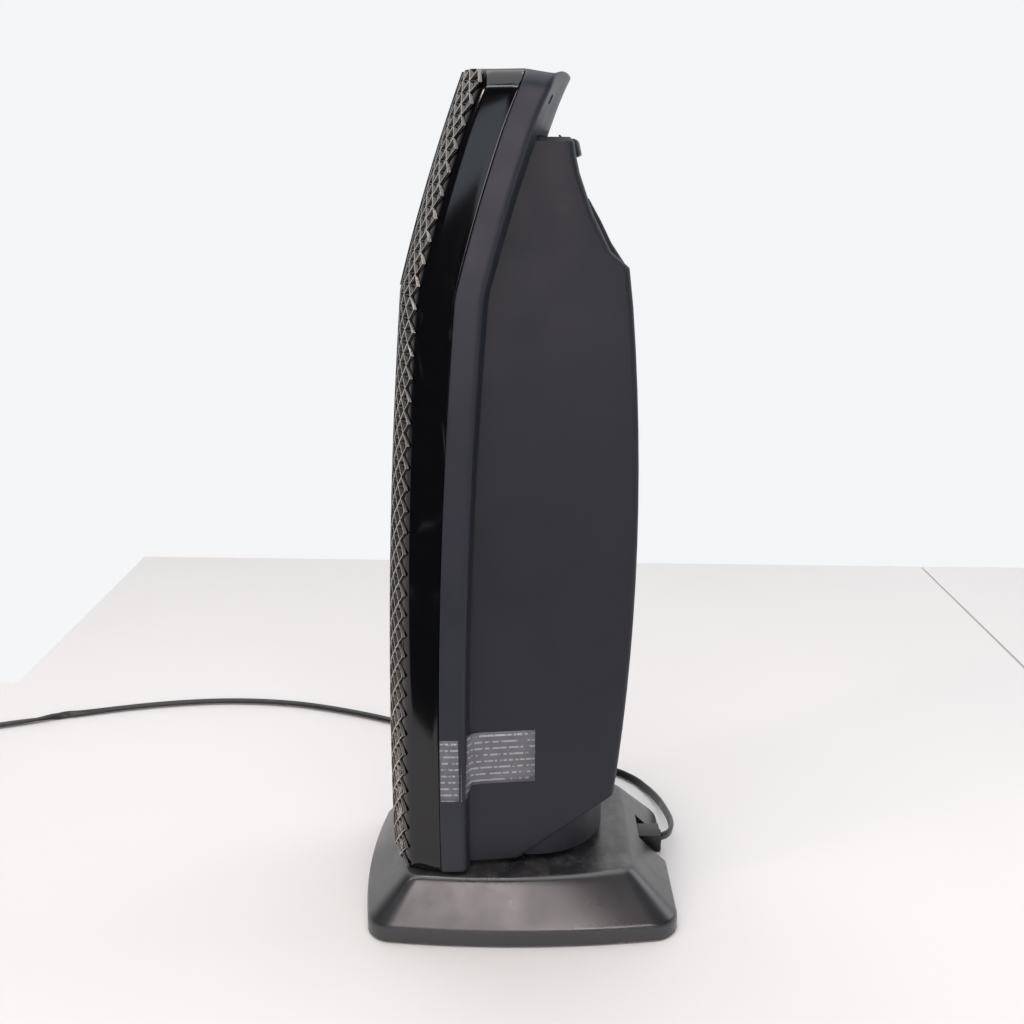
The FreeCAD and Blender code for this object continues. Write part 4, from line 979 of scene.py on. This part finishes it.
# the base's outline at its foot and at its deck, in millimetres: half widths at the front, widest and rear,
# reach to the front and rear, how far the front bows out, and the corners' radius
FOOTPRINT = {"front_half": 86, "half": 91, "rear_half": 84, "front": 113, "rear": 113, "bow": 5, "corner": 20}
DECK = {"front_half": 73, "half": 75, "rear_half": 64, "front": 84, "rear": 80.5, "bow": 4, "corner": 10}
RIM_TOP, DECK_TOP = 12.0, 45.0
BASE_SKIN, BASE_WALL = 2.3, 2.4


def bowed_line(start, end, sag):
    """Points between two corners, bowed out by the sag."""
    count = 14
    chord = Vector(end) - Vector(start)
    side = Vector((chord.y, -chord.x)).normalized()
    made = []
    for n in range(1, count):
        t = n / count
        made.append(tuple(Vector(start).lerp(Vector(end), t) + side * sag * (1 - (2 * t - 1) ** 2)))
    return made


def base_outline(share, inset=0.0):
    """The base's outline part of the way from its footprint to its deck, drawn in by the inset."""
    size = {key: FOOTPRINT[key] + (DECK[key] - FOOTPRINT[key]) * share for key in FOOTPRINT}
    for key in ("front_half", "half", "rear_half", "front", "rear"):
        size[key] -= inset
    corner = max(2.0, size["corner"] - inset)
    bow = max(0.5, size["bow"])
    front = -(size["front"] - bow)
    steps = 6
    corners = rounded([(-size["front_half"], front, corner), (size["front_half"], front, corner),
                       (size["rear_half"], size["rear"], corner), (-size["rear_half"], size["rear"], corner)],
                      steps)
    side_sag = size["half"] - (size["front_half"] + size["rear_half"]) / 2
    block = steps + 1
    made = []
    for index, sag in enumerate((bow, side_sag, 0.0, side_sag)):
        group = corners[index * block:(index + 1) * block]
        following = corners[((index + 1) % 4) * block]
        made += group + bowed_line(group[-1], following, sag)
    return [(x * MM, y * MM) for x, y in made]


def base_levels():
    """Pairs of height in millimetres and share: the rim rolls into the slope, and the slope into the deck."""
    foot, rim_end = base_low.z / MM, (RIM_TOP - 3, 0.0)
    slope_start, slope_end = (RIM_TOP + 2.5, 0.075), (DECK_TOP - 3.0, 0.93)
    levels = [(foot, 0.0), (foot + 1.4, 0.0), rim_end]

    def roll(start, apex, end, number, count):
        for n in range(1, number + 1):
            t = n / count
            levels.append(tuple((1 - t) ** 2 * a + 2 * t * (1 - t) * b + t * t * c
                                for a, b, c in zip(start, apex, end)))

    roll(rim_end, (RIM_TOP + 0.4, 0.0), slope_start, 5, 6)
    for n in range(9):
        t = n / 8
        levels.append(tuple(a + (b - a) * t for a, b in zip(slope_start, slope_end)))
    roll(slope_end, (DECK_TOP, 1.03), (DECK_TOP, 1.2), 6, 6)
    return levels


def make_base():
    """Satin base: upright rim, rolled edge, sloping sides, rolled ridge, flat deck; a notch for the cord."""
    outer, inner = [], []
    for z, share in base_levels():
        outer.append([(x, y, z * MM) for x, y in base_outline(share)])
        inner_z = z if z < RIM_TOP else z - BASE_SKIN
        inner.append([(x, y, inner_z * MM) for x, y in base_outline(min(share, 1.1), BASE_WALL)])
    rings = inner[::-1] + outer
    length = len(rings[0])
    points = [point for ring in rings for point in ring]
    faces = rings_to_faces(len(rings), length) + end_faces(len(rings), length)
    piece = mesh_from("bevelled_base", points, faces, "base", 60)
    cut(piece, box_tool((-32 * MM, 91.5 * MM, -10 * MM), (2 * MM, 130 * MM, 60 * MM)))
    cut(piece, drill((0, 10 * MM, 45 * MM), 17.6 * MM, 20 * MM, "Z"))
    shade(piece.data, 35)
    stand_for(piece, BASE, "base_shell")


make_base()


# ---- label


def make_label():
    """Blank film that wraps from the frame's side over its lip and onto the housing, where it is shorter."""
    lift, film, rows = 0.28 * MM, 0.12 * MM, 8
    low, high = 103 * MM, 149 * MM
    step_y, step_up = -33 * MM, 7 * MM
    path = [(FRAME_HALF, -54 * MM), (FRAME_HALF, -48 * MM), (FRAME_HALF, -43.5 * MM),
            (FRAME_HALF - 0.6 * MM, -39.6 * MM), (FRAME_HALF - 2.4 * MM, -37.3 * MM),
            (FRAME_HALF - 6 * MM, -36 * MM), (housing_half(-0.031) + 1.2 * MM, -33 * MM),
            (housing_half(-0.026), -26 * MM)]
    path += [(housing_half(y * MM), y * MM) for y in (-16, -6, 3, 11)]
    points = []
    for row in range(rows + 1):
        for x, y in path:
            bottom = low + step_up if y >= step_y else low
            points.append((x + lift, y, bottom + (high - bottom) * row / rows))
    faces = rings_to_faces(rows + 1, len(path), closed=False)
    piece = solidify(mesh_from("wrapped_label", points, faces, "column", 60), film)
    stand_for(piece, FILM, "side_label")


make_label()


# ---- cord

# the cord's route from the base to its coil, in millimetres: down to the table by points of its own,
# then, from (-213, -38) on, through the points of the part's route
CORD_ROUTE = [
    (-15, 110, 24), (-17.5, 114.5, 23.8), (-24, 118.5, 23), (-34, 121, 21.5), (-47, 122, 19),
    (-62, 122, 15.5), (-80, 121, 11.5), (-97, 119.3, 8), (-112, 116.5, 5.5), (-128, 111, 3.8),
    (-143, 102.5, 3.2), (-157, 89, 3.2), (-168, 68, 3.2), (-177, 40, 3.2), (-191, 6, 3.2),
    (-213, -38, 3.2), (-240, -82, 3.2), (-266, -128, 3.2), (-287, -176, 3.2), (-303, -226, 3.2),
    (-309, -281, 3.2), (-305, -336, 3.2), (-293, -389, 3.2), (-277, -437, 3.2), (-262, -477, 3.2),
    (-250, -508, 3.2), (-237, -543, 3.2),
]
CORD_WIDTH, CORD_THICK = 6.8 * MM, 3.5 * MM
COIL_TURNS, COIL_STEPS = 3.19, 16
COIL_START = math.radians(201)
TWIST_AT, TWIST_LENGTH = 0.735, 0.011
EXIT_TILT, EXIT_TILT_ENDS = 1.4, 0.27


def coil_route():
    """Turns of the put-away length: two side by side, the rest on top of them, then out to the plug."""
    coil_low, coil_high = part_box("cord_coil")
    centre = (coil_low + coil_high) / 2
    outer = (coil_high.x - coil_low.x) / 2
    made = []

    def share(turn, start, turns=1):
        """From 0 at the start turn to 1 some turns later, smoothly."""
        return 0.5 - 0.5 * math.cos(math.pi * min(1, max(0, turn - start) / turns))

    for n in range(1, round(COIL_TURNS * COIL_STEPS) + 1):
        turn = n / COIL_STEPS
        angle = COIL_START + turn * 2 * math.pi
        radius = outer - 5.2 * MM - 8.2 * MM * (share(turn, 0.75) - share(turn, 2.1))
        made.append((centre.x + radius * math.cos(angle), centre.y + radius * math.sin(angle),
                     2.4 * MM + 4.4 * MM * share(turn, 1.65, 0.45)))
    return made


def soften(name, width):
    """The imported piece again, with its sharp edges rounded."""
    node = NODES[name]
    made = bmesh.new()
    made.from_mesh(node.data)
    made.transform(node.matrix_world)
    bmesh.ops.remove_doubles(made, verts=made.verts, dist=1e-6)
    bmesh.ops.dissolve_limit(made, angle_limit=math.radians(2), verts=made.verts, edges=made.edges)
    mesh = bpy.data.meshes.new(name + "_soft")
    made.to_mesh(mesh)
    made.free()
    piece = bevel(new_object(name + "_soft", mesh, "base"), width, 3, 35)
    shade(piece.data, 40)
    stand_for(piece, FINISHES[SLOT_OF[name]], name)


def make_cord():
    """The whole cord: one smooth line along its route, coil and lead, swept with the flat section."""
    lead_low, lead_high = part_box("plug_lead")
    route = [tuple(value * MM for value in point) for point in CORD_ROUTE] + coil_route()
    lead_y = (lead_low.y + lead_high.y) / 2
    for share, z in ((0.35, 6.6), (0.6, 6.2), (0.85, 6.0), (1.0, 6.0)):
        route.append((lead_low.x + (lead_high.x - lead_low.x) * share, lead_y, z * MM))
    curve = bpy.data.curves.new("cord_path", "CURVE")
    curve.dimensions = "3D"
    curve.resolution_u = 8
    spline = curve.splines.new("NURBS")
    spline.points.add(len(route) - 1)
    for point, place in zip(spline.points, route):
        point.co = (*place, 1)
    spline.order_u = 3
    spline.use_endpoint_u = True
    path_object = placed("cord_path", curve)
    bpy.context.view_layer.update()
    line = bpy.data.meshes.new_from_object(path_object)
    path = [vert.co.copy() for vert in line.vertices]
    bpy.data.objects.remove(path_object, do_unlink=True)
    sweep_cord(path)


def cord_section():
    """Flat two-core section: two lobes with a shallow groove between them, as (across, up)."""
    lobe = CORD_THICK / 2
    reach = CORD_WIDTH / 2 - lobe
    made = []
    for side, first in ((1, -75), (-1, 105)):
        for n in range(8):
            angle = math.radians(first + 150 * n / 7)
            made.append((side * reach + lobe * math.cos(angle), lobe * math.sin(angle)))
        made.append((0.0, side * lobe * 0.72))
    return made


def sweep_cord(path):
    """Sweeps the flat section along the path: tilted at the exit, then flat, then turned over by a twist."""
    section = cord_section()
    points = []
    travelled = 0.0
    for index, place in enumerate(path):
        before, after = path[max(0, index - 1)], path[min(len(path) - 1, index + 1)]
        travelled += (place - path[index - 1]).length if index else 0.0
        ahead = (after - before).normalized()
        across = ahead.cross(Vector((0, 0, 1))).normalized()
        up = across.cross(ahead).normalized()
        tilt = EXIT_TILT * max(0.0, 1 - (travelled / EXIT_TILT_ENDS) ** 2)
        turn = math.pi / (1 + math.exp(-(travelled - TWIST_AT) / TWIST_LENGTH)) + tilt
        cosine, sine = math.cos(turn), math.sin(turn)
        half_height = CORD_WIDTH / 2 * abs(sine) + CORD_THICK / 2 * abs(cosine)
        lift = Vector((0, 0, max(0.0, half_height - place.z)))
        for x, y in section:
            offset = across * (x * cosine - y * sine) + up * (x * sine + y * cosine)
            points.append(place + lift + offset)
    faces = rings_to_faces(len(path), len(section)) + end_faces(len(path), len(section))
    piece = mesh_from("power_flex", points, faces, "base", 40)
    stand_for(piece, CORD_PVC, "power_cord", "cord_coil", "plug_lead")


soften("cord_strain_relief", 1.2 * MM)
soften("plug_body", 1.4 * MM)
soften("plug_blades", 0.3 * MM)
make_cord()


# ---- stage


def stage_sheet(name, outline, height, material):
    """A flat polygon of (x, y) corners that belongs to the studio, not to the part."""
    mesh = bpy.data.meshes.new(name)
    mesh.from_pydata([(x, y, height) for x, y in outline], [], [tuple(range(len(outline)))])
    mesh.materials.append(material)
    sheet = placed(name, mesh)
    return sheet


def make_stage():
    """Two pale tables and the joint between them. The near part gives the gloss black no mirror image."""
    made = Material("floor", (0.755, 0.735, 0.73), 0.6)
    tone = made.ramp(made.noise(3, 2), (0.3, (0.745, 0.726, 0.722)), (0.7, (0.765, 0.745, 0.741)))
    made.shade("Base Color", tone)
    joint = Material("table_joint", (0.5, 0.49, 0.485), 0.8).material
    far_left, far_joint, far_right = (-0.79, -0.52), (-0.746, 0.5525), (-0.68, 2.5)
    stage_sheet("floor", [far_left, (-0.36, -0.5275), (-0.36, -2.5), (0.33, -2.5), (0.33, 0.5475),
                          (-0.746, 0.5525)], 0, made.material)
    near = stage_sheet("floor_near", [(0.33, -2.5), (3.0, -2.5), (3.0, 0.5475), (0.33, 0.5475)], 0,
                       made.material)
    near.visible_glossy = False
    stage_sheet("floor_right", [(-0.746, 0.555), (3.0, 0.5495), (3.0, 2.5), far_right], 0, made.material)
    stage_sheet("table_joint", [far_joint, (3.0, 0.547), (3.0, 0.55), (-0.746, 0.556)], -0.0012, joint)


def area_light(name, place, target, size, power, color):
    """A rectangular light that faces its target."""
    data = bpy.data.lights.new(name, "AREA")
    data.shape = "RECTANGLE"
    data.size, data.size_y = size
    data.energy = power
    data.color = color
    light = placed(name, data)
    light.location = place
    light.rotation_euler = (Vector(target) - Vector(place)).to_track_quat("-Z", "Y").to_euler()


def make_world():
    """A pale room that is dark on the side the camera looks from, so that the gloss black stays black."""
    room_light, dark_side = 0.93, 0.035
    world = bpy.data.worlds.new("studio")
    bpy.context.scene.world = world
    world.use_nodes = True
    studio = Nodes(world.node_tree)
    across = studio.split(studio.node("ShaderNodeTexCoord").outputs["Generated"], "X")
    room = studio.map_range(across, (-0.5, -0.05), (room_light, dark_side))
    seen = studio.node("ShaderNodeLightPath").outputs["Is Camera Ray"]
    strength = studio.node("ShaderNodeMix", {"Factor": seen, "A": room, "B": room_light})
    background = studio.tree.nodes["Background"]
    studio.feed(background.inputs["Color"], (0.972, 0.985, 1.0))
    studio.feed(background.inputs["Strength"], strength.outputs["Result"])


# name, place, the point it faces, size, watts, colour
LIGHTS = [
    ("ceiling", (0.3, -0.05, 2.3), (0.1, 0, 0), (2.6, 2.6), 47.5, (0.985, 0.99, 1.0)),
    ("window_rear", (-0.5, 1.9, 1.2), (0, 0, 0.3), (1.0, 1.4), 9, (0.93, 0.97, 1.0)),
    ("window_front", (1.6, -1.12, 0.95), (0.07, 0, 0.53), (0.6, 0.32), 0.9, (0.8, 0.89, 1.0)),
    ("strip_high", (1.28, -0.88, 1.73), (0.07, 0, 0.56), (0.9, 0.12), 3, (0.86, 0.93, 1.0)),
    ("warm_wall", (2.0, 0.0, 0.66), (0.08, 0, 0.03), (1.9, 0.42), 21, (1.0, 0.88, 0.87)),
    ("lamp_glint", (0.09, -0.11, 1.6), (0.06, -0.06, 0.465), (0.16, 0.16), 2.2, (1.0, 0.88, 0.74)),
    ("lamp_front", (0.9, -1.6, 1.5), (0, 0, 0.4), (0.25, 0.25), 5, (1.0, 0.86, 0.72)),
]

make_stage()
make_world()
for light_row in LIGHTS:
    area_light(*light_row)
bpy.context.scene.view_settings.view_transform = "Standard"
